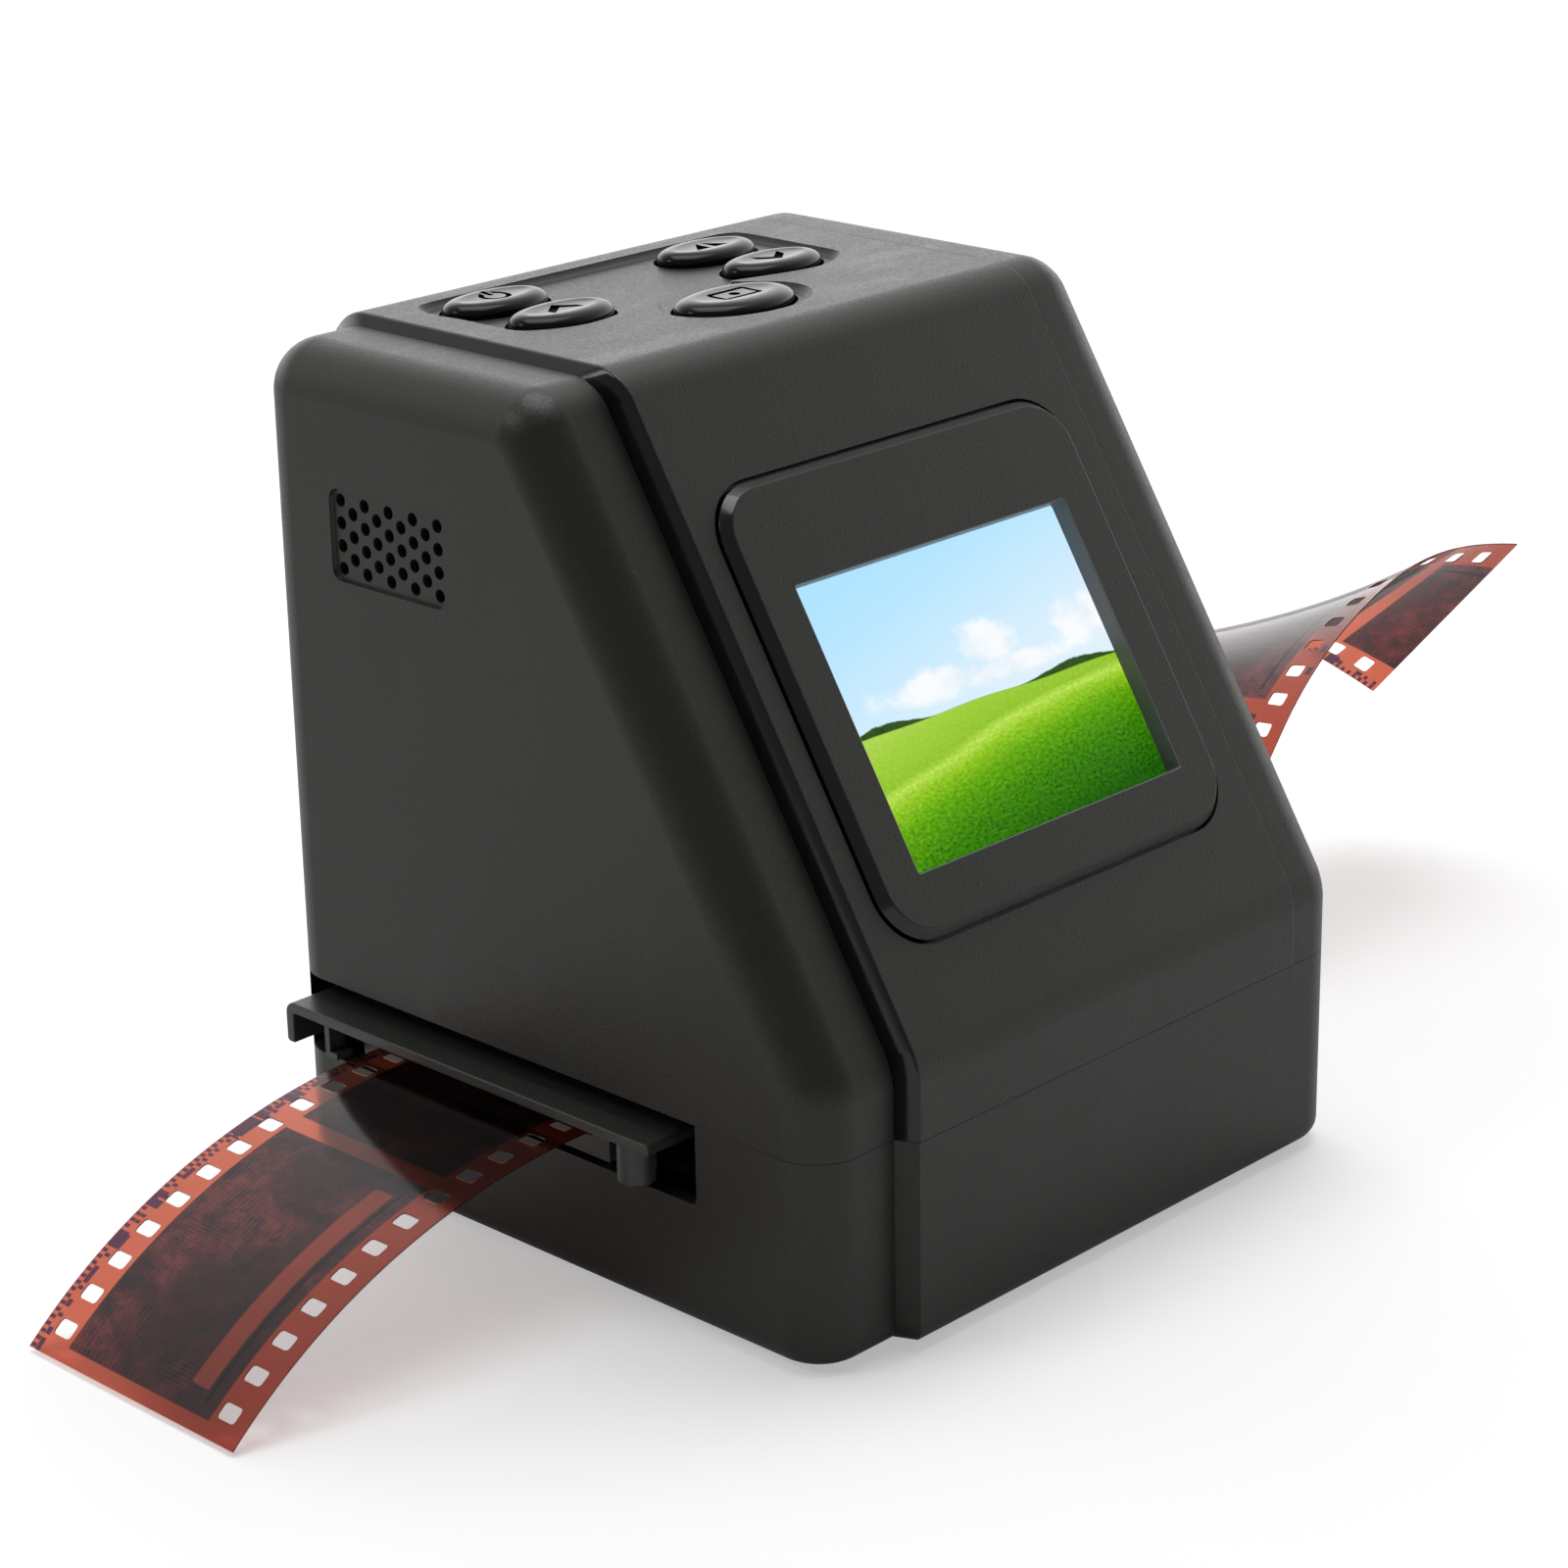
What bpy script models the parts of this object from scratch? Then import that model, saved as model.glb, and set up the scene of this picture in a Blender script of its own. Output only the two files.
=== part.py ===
"""A desktop scanner for strips of 35 mm negatives, in metres, +Z up, front towards -Y.

The case is four mouldings: a lower case, two side shells and a raised centre band that wraps
the front, the sloping screen face, the top and the back. A film carrier runs through a slot
from side to side, with a lamp under it and a camera looking down at it from above.
"""

import math

import bmesh
import bpy
from mathutils import Matrix, Vector

# Case, seen from its right side: back upright, flat top, sloping screen face, short upright front
HEIGHT = 0.1025
LEFT_X = -0.044
RIGHT_X = 0.044
REAR_Y = 0.0475
FRONT_Y = -0.0425
TOP_FRONT_Y = -0.0001
KNEE_Z = 0.0337
PARTING_Z = 0.0251
FOOT_PROUD = 0.0006
WALL = 0.002
GAP = 0.0003
END_ROUNDING = 0.006
BASE_ROUNDING = 0.0025
TOP_CORNER_RADIUS = 0.006
KNEE_RADIUS = 0.008
LEAST_RADIUS = 0.0008
OVERRUN = 0.012

# Centre band: proud of the left shell by a slanted step, flush with the right shell
BAND_LEFT_X = -0.03115
BAND_RIGHT_X = 0.03415
STEP_RUN = 0.0012
STEP_DROP_TOP = 0.0012
STEP_DROP_FACE = 0.0026
BAND_FLANGE = 0.0024

# Film slot in both sides, open towards the back corners
SLOT_FRONT_Y = -0.0215
SLOT_REAR_Y = 0.0442
SLOT_FLOOR_Z = 0.0156
SLOT_CUT_IN = 0.007

# Film: strip of 35 mm negatives with its sprocket holes
FILM_WIDTH = 0.035
FILM_THICKNESS = 0.00015
FILM_CENTRE_Y = 0.0131
FILM_Z = 0.019
SPROCKET_PITCH = 0.00475
SPROCKET_LENGTH = 0.00198
SPROCKET_WIDTH = 0.00279
SPROCKET_MARGIN = 0.00201
SPROCKET_LEFT_START = 0.00505
SPROCKET_RIGHT_START = 0.00052
SPROCKET_END_MARGIN = 0.0006
LEFT_TAIL = 0.056
LEFT_TAIL_SPAN = 0.019
LEFT_TAIL_BEND_SHARES = (0.198, 0.234, 0.270, 0.306)
RIGHT_TAIL = 0.0945
RIGHT_TAIL_STRAIGHT = 0.010
RIGHT_TAIL_SPAN = 0.017
RIGHT_TAIL_BEND_SHARES = (0.0, 0.811, -0.376, -0.320, -0.608, -0.176)
RIGHT_TAIL_TWIST_SHARES = (0.0, -0.027, -0.212, -0.205, -0.321, -0.364)
FILM_STEP = 0.0005

# Carrier: lower bed and cover that holds the film flat over the gate
CARRIER_BED_INSET = 0.0005
CARRIER_END_REACH = 0.0030
CARRIER_BED_LENGTH = RIGHT_X - LEFT_X - 2 * CARRIER_BED_INSET
CARRIER_COVER_LENGTH = RIGHT_X - LEFT_X + 2 * CARRIER_END_REACH
CARRIER_FRONT_Y = -0.0172
CARRIER_REAR_Y = 0.0436
CARRIER_UNDER_Z = 0.0162
CARRIER_SKIRT_Z = 0.0173
CARRIER_TOP_Z = 0.0224
COVER_THICKNESS = 0.0013
FILM_PLAY = 0.0003
FILM_SIDE_PLAY = 0.0004
RAIL_WIDTH = 0.0027
GATE_LENGTH = 0.037
GATE_WIDTH = 0.025
PRESSURE_RIM = 0.0025
END_RIB_LENGTH = 0.0024
END_RIB_THICKNESS = 0.0008
END_RIB_Y = 0.0390
END_RIB_FOOT = 0.0012
PEG_RADIUS = 0.0022
PEG_Y = -0.0132
PEG_UNDER_Z = 0.0163
COVER_CORNER = 0.0011
HINGE_X = 0.0260
HINGE_Y = 0.0362
HINGE_Z = 0.0188
KNUCKLE_RADIUS = 0.0019
KNUCKLE_LENGTH = 0.0040
PIN_RADIUS = 0.0008
GUIDE_THICKNESS = 0.0012
GUIDE_TOP_Z = 0.0205

# Buttons on top, in a shallow lobed dish
BUTTON_LEFT_X = -0.0169
BUTTON_RIGHT_X = 0.0174
BUTTON_REAR_SHIFT = 0.0007
BUTTON_MIDDLE_X = 0.0006
BUTTON_REAR_Y = 0.0342
BUTTON_FRONT_Y = 0.0239
BUTTON_WIDE_Y = 0.0137
BUTTON_HALF_LENGTH = 0.0072
BUTTON_HALF_WIDTH = 0.0043
WIDE_HALF_LENGTH = 0.0083
WIDE_HALF_WIDTH = 0.0053
BUTTON_CLEARANCE = 0.0004
BUTTON_TRAVEL = 0.0005
BUTTON_RIM_RISE = 0.0004
BUTTON_DOME = 0.0012
BUTTON_FLANGE = 0.0007
BUTTON_FLANGE_THICKNESS = 0.0010
BUTTON_STEM_RADIUS = 0.0015
BUTTON_STEM_LENGTH = 0.0022
DOME_SHARES = (0.05, 0.22, 0.46, 0.72)
DISH_DEPTH = 0.0008
DISH_MARGIN = 0.0021
DISH_REAR_Y = 0.0396
DISH_FRONT_Y = 0.0205
DISH_LEFT_X = -0.0262
DISH_RIGHT_X = 0.0268
DISH_CORNER = 0.005
SWITCH_SIDE = 0.006
SWITCH_HEIGHT = 0.0032
PLUNGER_RADIUS = 0.0016
PLUNGER_PROUD = 0.0006
PLUNGER_SEAT = 0.0006
BUTTON_BOARD_LEFT_X = -0.0286
BUTTON_BOARD_RIGHT_X = 0.0295
BUTTON_BOARD_FRONT_Y = 0.009
BUTTON_BOARD_REAR_Y = 0.0435
BOARD_THICKNESS = 0.0016
BOSS_RADIUS = 0.0025
BOARD_HOLE_RADIUS = 0.0013
BOARD_MARGIN = 0.003

# Screen, measured down the slope from the virtual edge of the top
SLOPE_LENGTH = math.hypot(TOP_FRONT_Y - FRONT_Y, HEIGHT - KNEE_Z)
BEZEL_LEFT_X = -0.0275
BEZEL_RIGHT_X = 0.0301
BEZEL_TOP = 0.0155
BEZEL_ABOVE_KNEE = 0.0119
BEZEL_BOTTOM = SLOPE_LENGTH - BEZEL_ABOVE_KNEE
BEZEL_CORNER = 0.0065
BEZEL_PROUD = 0.0013
BEZEL_SLANT = 0.0011
BEZEL_POCKET = 0.0012
WINDOW_CENTRE_X = 0.00135
BEZEL_HEAD = 0.0126
BEZEL_CHIN = 0.0071
WINDOW_TOP = BEZEL_TOP + BEZEL_HEAD
WINDOW_BOTTOM = BEZEL_BOTTOM - BEZEL_CHIN
WINDOW_WIDTH = 0.0449
PANE_MARGIN = 0.0015
PANE_THICKNESS = 0.0010
LCD_MARGIN = 0.0032
LCD_THICKNESS = 0.0030
MAIN_BOARD_INSET = 0.0025
MAIN_BOARD_TOP = BEZEL_TOP + MAIN_BOARD_INSET
MAIN_BOARD_BOTTOM = BEZEL_BOTTOM + MAIN_BOARD_INSET
MAIN_BOARD_WIDTH = 0.0580

# Speaker grille in the left side: rows of holes in a sunk panel
GRILLE_REAR_Y = 0.03246
GRILLE_DROP = 0.01766
GRILLE_TOP_Z = HEIGHT - GRILLE_DROP
GRILLE_COLUMN_PITCH = 0.00402
GRILLE_ROW_PITCH = 0.00265
GRILLE_COLUMNS = 9
GRILLE_LONG_ROWS = 4
GRILLE_HOLE_RADIUS = 0.00075
GRILLE_BORDER = 0.0014
GRILLE_SUNK = 0.0005
SPEAKER_RADIUS = 0.0100
SPEAKER_DEPTH = 0.0045
SPEAKER_MAGNET_RADIUS = 0.0060
SPEAKER_MAGNET_DEPTH = 0.0025

# Lamp under the film, and the deck that the carrier slides on
LAMP_LENGTH = 0.044
LAMP_WIDTH = 0.032
LAMP_WALL = 0.0015
LAMP_BOARD_LIFT = 0.0024
LAMP_BOARD_MARGIN = 0.003
DIFFUSER_THICKNESS = 0.0016
DECK_THICKNESS = 0.0012
DECK_HALF_LENGTH = 0.038
DECK_FRONT_Y = -0.0240
DECK_REAR_Y = 0.0436
DECK_POST_MARGIN = 0.0038
LED_RADIUS = 0.0018
LED_HEIGHT = 0.0011
LED_SPACING = 0.011

# Camera above the film
CHAMBER_LENGTH = 0.044
CHAMBER_WIDTH = 0.030
CHAMBER_WALL = 0.0015
CHAMBER_FOOT_Z = 0.0262
CAMERA_HEADROOM = 0.0345
CHAMBER_TOP_Z = HEIGHT - CAMERA_HEADROOM
CHAMBER_LUG_WIDTH = 0.006
CHAMBER_LUG_HEIGHT = 0.012
CHAMBER_LUG_DROP = 0.008
CHAMBER_LUG_X = 0.014
BARREL_RADIUS = 0.0062
BARREL_BORE = 0.0044
BARREL_BELOW = 0.005
BARREL_ABOVE = 0.006
LENS_DEPTH = 0.0008
HOLDER_WALL = 0.0025
HOLDER_HEIGHT = 0.011
SENSOR_SIDE = 0.0070
SENSOR_THICKNESS = 0.0015
SENSOR_BOARD_SIDE = 0.030
LENS_THICKNESS = 0.0022

# Sockets
CARD_SOCKET_WIDTH = 0.0280
CARD_SOCKET_DEPTH = 0.0240
CARD_SOCKET_HEIGHT = 0.0030
CARD_SOCKET_WALL = 0.0003
CARD_SOCKET_FRONT_Y = -0.0330
CARD_SLOT_WIDTH = 0.0250
CARD_SLOT_HEIGHT = 0.0030
CARD_BOARD_Z = 0.0282
CARD_BOARD_LEFT_X = -0.0060
CARD_BOARD_FRONT_Y = -0.0336
CARD_BOARD_REAR_Y = -0.0040
CARD_POST_RIGHT_X = 0.0330
USB_X = 0.0280
USB_WIDTH = 0.0078
USB_HEIGHT = 0.0036
USB_DEPTH = 0.0090
USB_WALL = 0.0005
USB_BOARD_Z = 0.0360
USB_BOARD_WIDTH = 0.0105
USB_BOARD_DEPTH = 0.0140
USB_OPENING_MARGIN = 0.0006
USB_SHELF = 0.0030

# Feet and screws
FOOT_RADIUS = 0.0042
FOOT_POCKET = 0.0009
FOOT_X = 0.0290
FOOT_FRONT_Y = -0.0330
FOOT_REAR_Y = 0.0385
SCREW_X = 0.0385
SCREW_LEFT_Y = -0.0335
SCREW_RIGHT_Y = -0.0368
SCREW_HEAD_RADIUS = 0.0024
SCREW_HEAD_HEIGHT = 0.0016
SCREW_SHANK_RADIUS = 0.0011
SCREW_LENGTH = 0.0270
SCREW_SEAT = 0.0020
SCREW_BOSS_WALL = 0.0014
SCREW_POST_LENGTH = 0.0090
SMALL_HEAD_RADIUS = 0.0021
SMALL_HEAD_HEIGHT = 0.0012
SMALL_SHANK_LENGTH = 0.0040

# Tongues that locate the mouldings on each other
TONGUE_WIDTH = 0.010
TONGUE_REACH = 0.0045
TONGUE_THICKNESS = 0.0010
TONGUE_ROOT = 0.0030
TONGUE_X = 0.016
TONGUE_Y = 0.020
TONGUE_ABOVE_USB = 0.0240
TONGUE_Z = USB_BOARD_Z + TONGUE_ABOVE_USB

SHARP_ANGLE = math.radians(35)
ARC_STEPS = 5
END_STEPS = 4
ROUND_STEPS = 24
SMALL_STEPS = 12
TINY_STEPS = 10
DISH_STEPS = 72

SLOPE_RUN = (TOP_FRONT_Y - FRONT_Y) / (HEIGHT - KNEE_Z)
SLOPE_ANGLE = math.atan(SLOPE_RUN)
DROP = (STEP_DROP_TOP, STEP_DROP_TOP, STEP_DROP_FACE, STEP_DROP_FACE)
FLUSH = (0, 0, 0, 0)
SLOPE_FRAME = Matrix(
    (
        (1, 0, 0, 0),
        (0, math.sin(SLOPE_ANGLE), -math.cos(SLOPE_ANGLE), TOP_FRONT_Y),
        (0, math.cos(SLOPE_ANGLE), math.sin(SLOPE_ANGLE), HEIGHT),
        (0, 0, 0, 1),
    )
)
SIDEWAYS = Matrix.Rotation(math.pi / 2, 4, "Y")
IN_PLACE = Matrix.Identity(4)


def clear_scene():
    for thing in list(bpy.data.objects):
        bpy.data.objects.remove(thing, do_unlink=True)


def material(name, colour, roughness, metallic=0.0, alpha=1.0):
    made = bpy.data.materials.new(name)
    made.use_nodes = True
    shader = made.node_tree.nodes["Principled BSDF"]
    shader.inputs["Base Color"].default_value = (*colour, 1.0)
    shader.inputs["Roughness"].default_value = roughness
    shader.inputs["Metallic"].default_value = metallic
    shader.inputs["Alpha"].default_value = alpha
    return made


def body(name, parent=None, place=(0, 0, 0)):
    """An empty that carries the pieces of one rigid body, standing on its joint's axis."""
    empty = bpy.data.objects.new(name + "_body", None)
    bpy.context.scene.collection.objects.link(empty)
    empty.parent = parent
    empty.location = place
    return empty


def add(name, shape, finish, carrier, smooth=False):
    """Turns a bmesh in case coordinates into a named object that rides on a body."""
    shape.transform(Matrix.Translation(-carried_at(carrier)))
    mesh = bpy.data.meshes.new(name)
    shape.to_mesh(mesh)
    shape.free()
    if smooth:
        mesh.shade_smooth()
        mesh.set_sharp_from_angle(angle=SHARP_ANGLE)
    thing = bpy.data.objects.new(name, mesh)
    bpy.context.scene.collection.objects.link(thing)
    thing.parent = carrier
    if finish:
        mesh.materials.append(finish)
    return thing


def carried_at(carrier):
    """Where a body's empty stands in case coordinates."""
    place = Vector((0, 0, 0))
    while carrier.parent:
        place += carrier.location
        carrier = carrier.parent
    return place


def boolean(thing, operation, shapes):
    """Cuts helper shapes from a piece, or joins them to it."""
    for number, shape in enumerate(shapes):
        helper = add(f"{thing.name}_{operation.lower()}_{number}", shape, None, thing.parent)
        helper.hide_render = True
        helper.display_type = "WIRE"
        step = thing.modifiers.new(helper.name, "BOOLEAN")
        step.operation = operation
        step.solver = "EXACT"
        step.object = helper


def cut(thing, *shapes):
    boolean(thing, "DIFFERENCE", shapes)


def join(thing, *shapes):
    boolean(thing, "UNION", shapes)


def box(low, high, frame=IN_PLACE):
    shape = bmesh.new()
    bmesh.ops.create_cube(shape, size=1)
    low, high = Vector(low), Vector(high)
    size = Matrix.Diagonal((*(high - low), 1))
    shape.transform(frame @ Matrix.Translation((low + high) / 2) @ size)
    return shape


def rod(x, y, low, high, radius, frame=IN_PLACE, steps=ROUND_STEPS, top_radius=None):
    """A cylinder or cone along the frame's Z."""
    shape = bmesh.new()
    bmesh.ops.create_cone(
        shape,
        cap_ends=True,
        segments=steps,
        radius1=radius,
        radius2=radius if top_radius is None else top_radius,
        depth=high - low,
        matrix=frame @ Matrix.Translation((x, y, (low + high) / 2)),
    )
    return shape


def plate(outline, low, high, frame=IN_PLACE):
    """A flat outline made solid between two heights of the frame."""
    return loft([[(x, y, z) for x, y in outline] for z in (low, high)], frame)


def loft(rings, frame=IN_PLACE):
    """A closed solid through rings of equal count."""
    shape = bmesh.new()
    layers = [[shape.verts.new(point) for point in ring] for ring in rings]
    shape.faces.new(reversed(layers[0]))
    shape.faces.new(layers[-1])
    for low, high in zip(layers, layers[1:]):
        for i, corner in enumerate(low):
            shape.faces.new((low[i - 1], corner, high[i], high[i - 1]))
    bmesh.ops.recalc_face_normals(shape, faces=shape.faces)
    shape.transform(frame)
    return shape


def together(shapes):
    """Several shapes that don't touch, as one cutter."""
    whole = bmesh.new()
    for shape in shapes:
        mesh = bpy.data.meshes.new("part_of_cutter")
        shape.to_mesh(mesh)
        shape.free()
        whole.from_mesh(mesh)
        bpy.data.meshes.remove(mesh)
    return whole


def rounded(points, radii, steps=ARC_STEPS):
    """An outline with each corner turned into an arc of its own radius."""
    outline = []
    for i, (point, radius) in enumerate(zip(points, radii)):
        corner = Vector(point)
        if not radius:
            outline.append(tuple(corner))
            continue
        back = (Vector(points[i - 1]) - corner).normalized()
        ahead = (Vector(points[(i + 1) % len(points)]) - corner).normalized()
        half = back.angle(ahead) / 2
        centre = corner + (back + ahead).normalized() * (radius / math.sin(half))
        start = corner + back * (radius / math.tan(half)) - centre
        end = corner + ahead * (radius / math.tan(half)) - centre
        turn = start.angle(end)
        for k in range(steps + 1):
            share = k / steps
            arm = start * math.sin((1 - share) * turn) + end * math.sin(share * turn)
            outline.append(tuple(centre + arm / math.sin(turn)))
    return outline


def rounded_box(x0, x1, y0, y1, radius):
    return rounded([(x0, y0), (x1, y0), (x1, y1), (x0, y1)], [radius] * 4)


def ellipse(x, y, half_length, half_width, steps=ROUND_STEPS):
    turns = [2 * math.pi * k / steps for k in range(steps)]
    return [(x + half_length * math.cos(t), y + half_width * math.sin(t)) for t in turns]


def slope_box(x0, x1, top, bottom, low, high):
    """A box on the sloping face: down the slope from top to bottom, low to high off its surface."""
    return box((x0, -bottom, low), (x1, -top, high), SLOPE_FRAME)


def along_x(y, z, low, high, radius, steps=SMALL_STEPS):
    return rod(-z, y, low, high, radius, SIDEWAYS, steps)


def side_profile(insets, base):
    """The case from its side, as (y, z) corners, with each face drawn in by its own inset."""
    rear, top, slope, front = insets
    y_rear = REAR_Y - rear
    y_front = FRONT_Y + front
    z_top = HEIGHT - top
    y = TOP_FRONT_Y + slope * math.cos(SLOPE_ANGLE)
    z = HEIGHT - slope * math.sin(SLOPE_ANGLE)
    return [
        (y_rear, base),
        (y_rear, z_top),
        (y + (z_top - z) * SLOPE_RUN, z_top),
        (y_front, z + (y_front - y) / SLOPE_RUN),
        (y_front, base),
    ]


def upper_ring(x, insets, extra, base):
    """One section of the upper case, drawn in by extra on top of its insets."""
    drawn = [inset + extra for inset in insets]
    corner = max(TOP_CORNER_RADIUS - extra, LEAST_RADIUS)
    knee = max(KNEE_RADIUS - extra, LEAST_RADIUS)
    points = side_profile(drawn, base)
    return [(x, y, z) for y, z in rounded(points, (0, corner, corner, knee, 0))]


def lower_ring(x, insets, thinner, inset, floor, top):
    """One section of the lower case, whose bottom edge is rounded."""
    rear, _, _, front = insets
    drawn = thinner + inset
    y0, y1 = FRONT_Y + front + drawn, REAR_Y - rear - drawn
    low = floor + inset * BASE_ROUNDING / END_ROUNDING
    points = [(y0, low), (y1, low), (y1, top), (y0, top)]
    corner = max(BASE_ROUNDING - drawn, LEAST_RADIUS)
    return [(x, y, z) for y, z in rounded(points, (corner, corner, 0, 0))]


def rounded_end(end_x, inward, radius):
    """(x, inset) pairs from an end face to where its edge rounding stops."""
    for k in range(END_STEPS + 1):
        turn = k / END_STEPS * math.pi / 2
        yield end_x + inward * radius * (1 - math.cos(turn)), radius * (1 - math.sin(turn))


def upper_end(end_x, inward, stop_x, insets, thinner, base):
    """A side shell's solid, or with thinner its hollow."""
    radius = END_ROUNDING - thinner
    rings = [
        upper_ring(x, insets, inset + thinner, base)
        for x, inset in rounded_end(end_x + inward * thinner, inward, radius)
    ]
    return loft(rings + [upper_ring(stop_x, insets, thinner, base)])


def post(x, y, low, high, radius=BOSS_RADIUS):
    return rod(x, y, low, high, radius, steps=SMALL_STEPS)


def screw(name, x, y, head_low, head_high, tip, head_radius, finish, carrier, frame=IN_PLACE):
    """A screw whose shank runs from its head to the tip, on either side of the head."""
    shape = rod(x, y, head_low, head_high, head_radius, frame, SMALL_STEPS)
    made = add(name, shape, finish, carrier)
    inside = (head_low + head_high) / 2
    low, high = min(inside, tip), max(inside, tip)
    join(made, rod(x, y, low, high, SCREW_SHANK_RADIUS, frame, TINY_STEPS))
    return made


def make_left_shell(finish, root):
    stop = BAND_LEFT_X - STEP_RUN - GAP
    shape = upper_end(LEFT_X, 1, stop, DROP, 0, PARTING_Z)
    shell = add("left_side_shell", shape, finish, root)
    cut(shell, upper_end(LEFT_X, 1, stop + OVERRUN, DROP, WALL, PARTING_Z - OVERRUN))
    y0 = GRILLE_REAR_Y - (GRILLE_COLUMNS - 1) * GRILLE_COLUMN_PITCH / 2
    z0 = GRILLE_TOP_Z - (GRILLE_LONG_ROWS - 1) * GRILLE_ROW_PITCH
    edge = GRILLE_BORDER
    panel = rounded_box(y0 - edge, GRILLE_REAR_Y + edge, z0 - edge, GRILLE_TOP_Z + edge, edge)
    rings = [[(x, y, z) for y, z in panel] for x in (LEFT_X - OVERRUN, LEFT_X + GRILLE_SUNK)]
    cut(shell, loft(rings), grille_holes())
    join(shell, screw_post(-1), screw_web(-1), speaker_ring(WALL))
    join_tongues(shell, -1)
    cut(shell, screw_pilot(-1), speaker_ring(0))


def grille_holes():
    """Nine columns of holes, four and three high by turns, as one cutter along X."""
    holes = []
    for column in range(GRILLE_COLUMNS):
        rows = GRILLE_LONG_ROWS - column % 2
        y = GRILLE_REAR_Y - column * GRILLE_COLUMN_PITCH / 2
        for row in range(rows):
            z = GRILLE_TOP_Z - (row + (column % 2) / 2) * GRILLE_ROW_PITCH
            low, high = LEFT_X - WALL, LEFT_X + OVERRUN
            holes.append(along_x(y, z, low, high, GRILLE_HOLE_RADIUS, TINY_STEPS))
    return together(holes)


def screw_place(side):
    return side * SCREW_X, SCREW_RIGHT_Y if side > 0 else SCREW_LEFT_Y


def screw_post(side):
    """The post in a side shell that a case screw bites into."""
    x, y = screw_place(side)
    radius = SCREW_SHANK_RADIUS + SCREW_BOSS_WALL
    return post(x, y, PARTING_Z + GAP, PARTING_Z + SCREW_POST_LENGTH, radius)


def screw_web(side):
    """The web that ties the post to the side wall."""
    x, y = screw_place(side)
    low, high = sorted((x, side * (RIGHT_X - WALL / 2)))
    top = PARTING_Z + SCREW_POST_LENGTH - WALL
    return box((low, y - WALL / 2, PARTING_Z + GAP), (high, y + WALL / 2, top))


def screw_pilot(side):
    x, y = screw_place(side)
    low, high = PARTING_Z - WALL, PARTING_Z + SCREW_POST_LENGTH - WALL
    return post(x, y, low, high, SCREW_SHANK_RADIUS + GAP)


def join_tongues(shell, side):
    """Tongues off a side shell that reach under the centre band, at the top and at the back."""
    drop = STEP_DROP_TOP if side < 0 else 0
    edge = BAND_LEFT_X - STEP_RUN - GAP if side < 0 else BAND_RIGHT_X + GAP
    near = edge + side * TONGUE_ROOT
    x0, x1 = sorted((edge - side * TONGUE_REACH, near))
    r0, r1 = sorted((edge + side * GAP, near))
    half = TONGUE_WIDTH / 2
    top, rear = HEIGHT - drop - WALL, REAR_Y - drop - WALL
    high, back = top - GAP, rear - GAP
    low, fore = high - TONGUE_THICKNESS, back - TONGUE_THICKNESS
    y0, y1 = TONGUE_Y - half, TONGUE_Y + half
    z0, z1 = TONGUE_Z - half, TONGUE_Z + half
    join(shell, box((r0, y0, high - GAP), (r1, y1, top + WALL / 2)), box((x0, y0, low), (x1, y1, high)))
    join(shell, box((r0, back - GAP, z0), (r1, rear + WALL / 2, z1)), box((x0, fore, z0), (x1, back, z1)))


def speaker_centre():
    y = GRILLE_REAR_Y - (GRILLE_COLUMNS - 1) * GRILLE_COLUMN_PITCH / 4
    return y, GRILLE_TOP_Z - (GRILLE_LONG_ROWS - 1) * GRILLE_ROW_PITCH / 2


def speaker_ring(wall):
    """The wall round the speaker or, with no wall, the seat inside it."""
    y, z = speaker_centre()
    low = LEFT_X + (WALL / 2 if wall else WALL)
    high = LEFT_X + WALL + SPEAKER_DEPTH + (0 if wall else WALL)
    radius = SPEAKER_RADIUS + GAP + wall / 2
    return along_x(y, z, low, high, radius, ROUND_STEPS)


def make_right_shell(finish, root):
    stop = BAND_RIGHT_X + GAP
    shape = upper_end(RIGHT_X, -1, stop, FLUSH, 0, PARTING_Z)
    shell = add("right_side_shell", shape, finish, root)
    cut(shell, upper_end(RIGHT_X, -1, stop - OVERRUN, FLUSH, WALL, PARTING_Z - OVERRUN))
    y0 = CARD_SOCKET_FRONT_Y + (CARD_SOCKET_WIDTH - CARD_SLOT_WIDTH) / 2
    z0 = CARD_BOARD_Z + BOARD_THICKNESS + GAP + (CARD_SOCKET_HEIGHT - CARD_SLOT_HEIGHT) / 2
    low = (RIGHT_X - OVERRUN / 2, y0, z0)
    high = (RIGHT_X + OVERRUN, y0 + CARD_SLOT_WIDTH, z0 + CARD_SLOT_HEIGHT)
    cut(shell, box(low, high))
    join(shell, screw_post(1), screw_web(1))
    join_tongues(shell, 1)
    cut(shell, screw_pilot(1))


def band_ring(x, insets, extra):
    return upper_ring(x, insets, extra, PARTING_Z)


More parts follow.
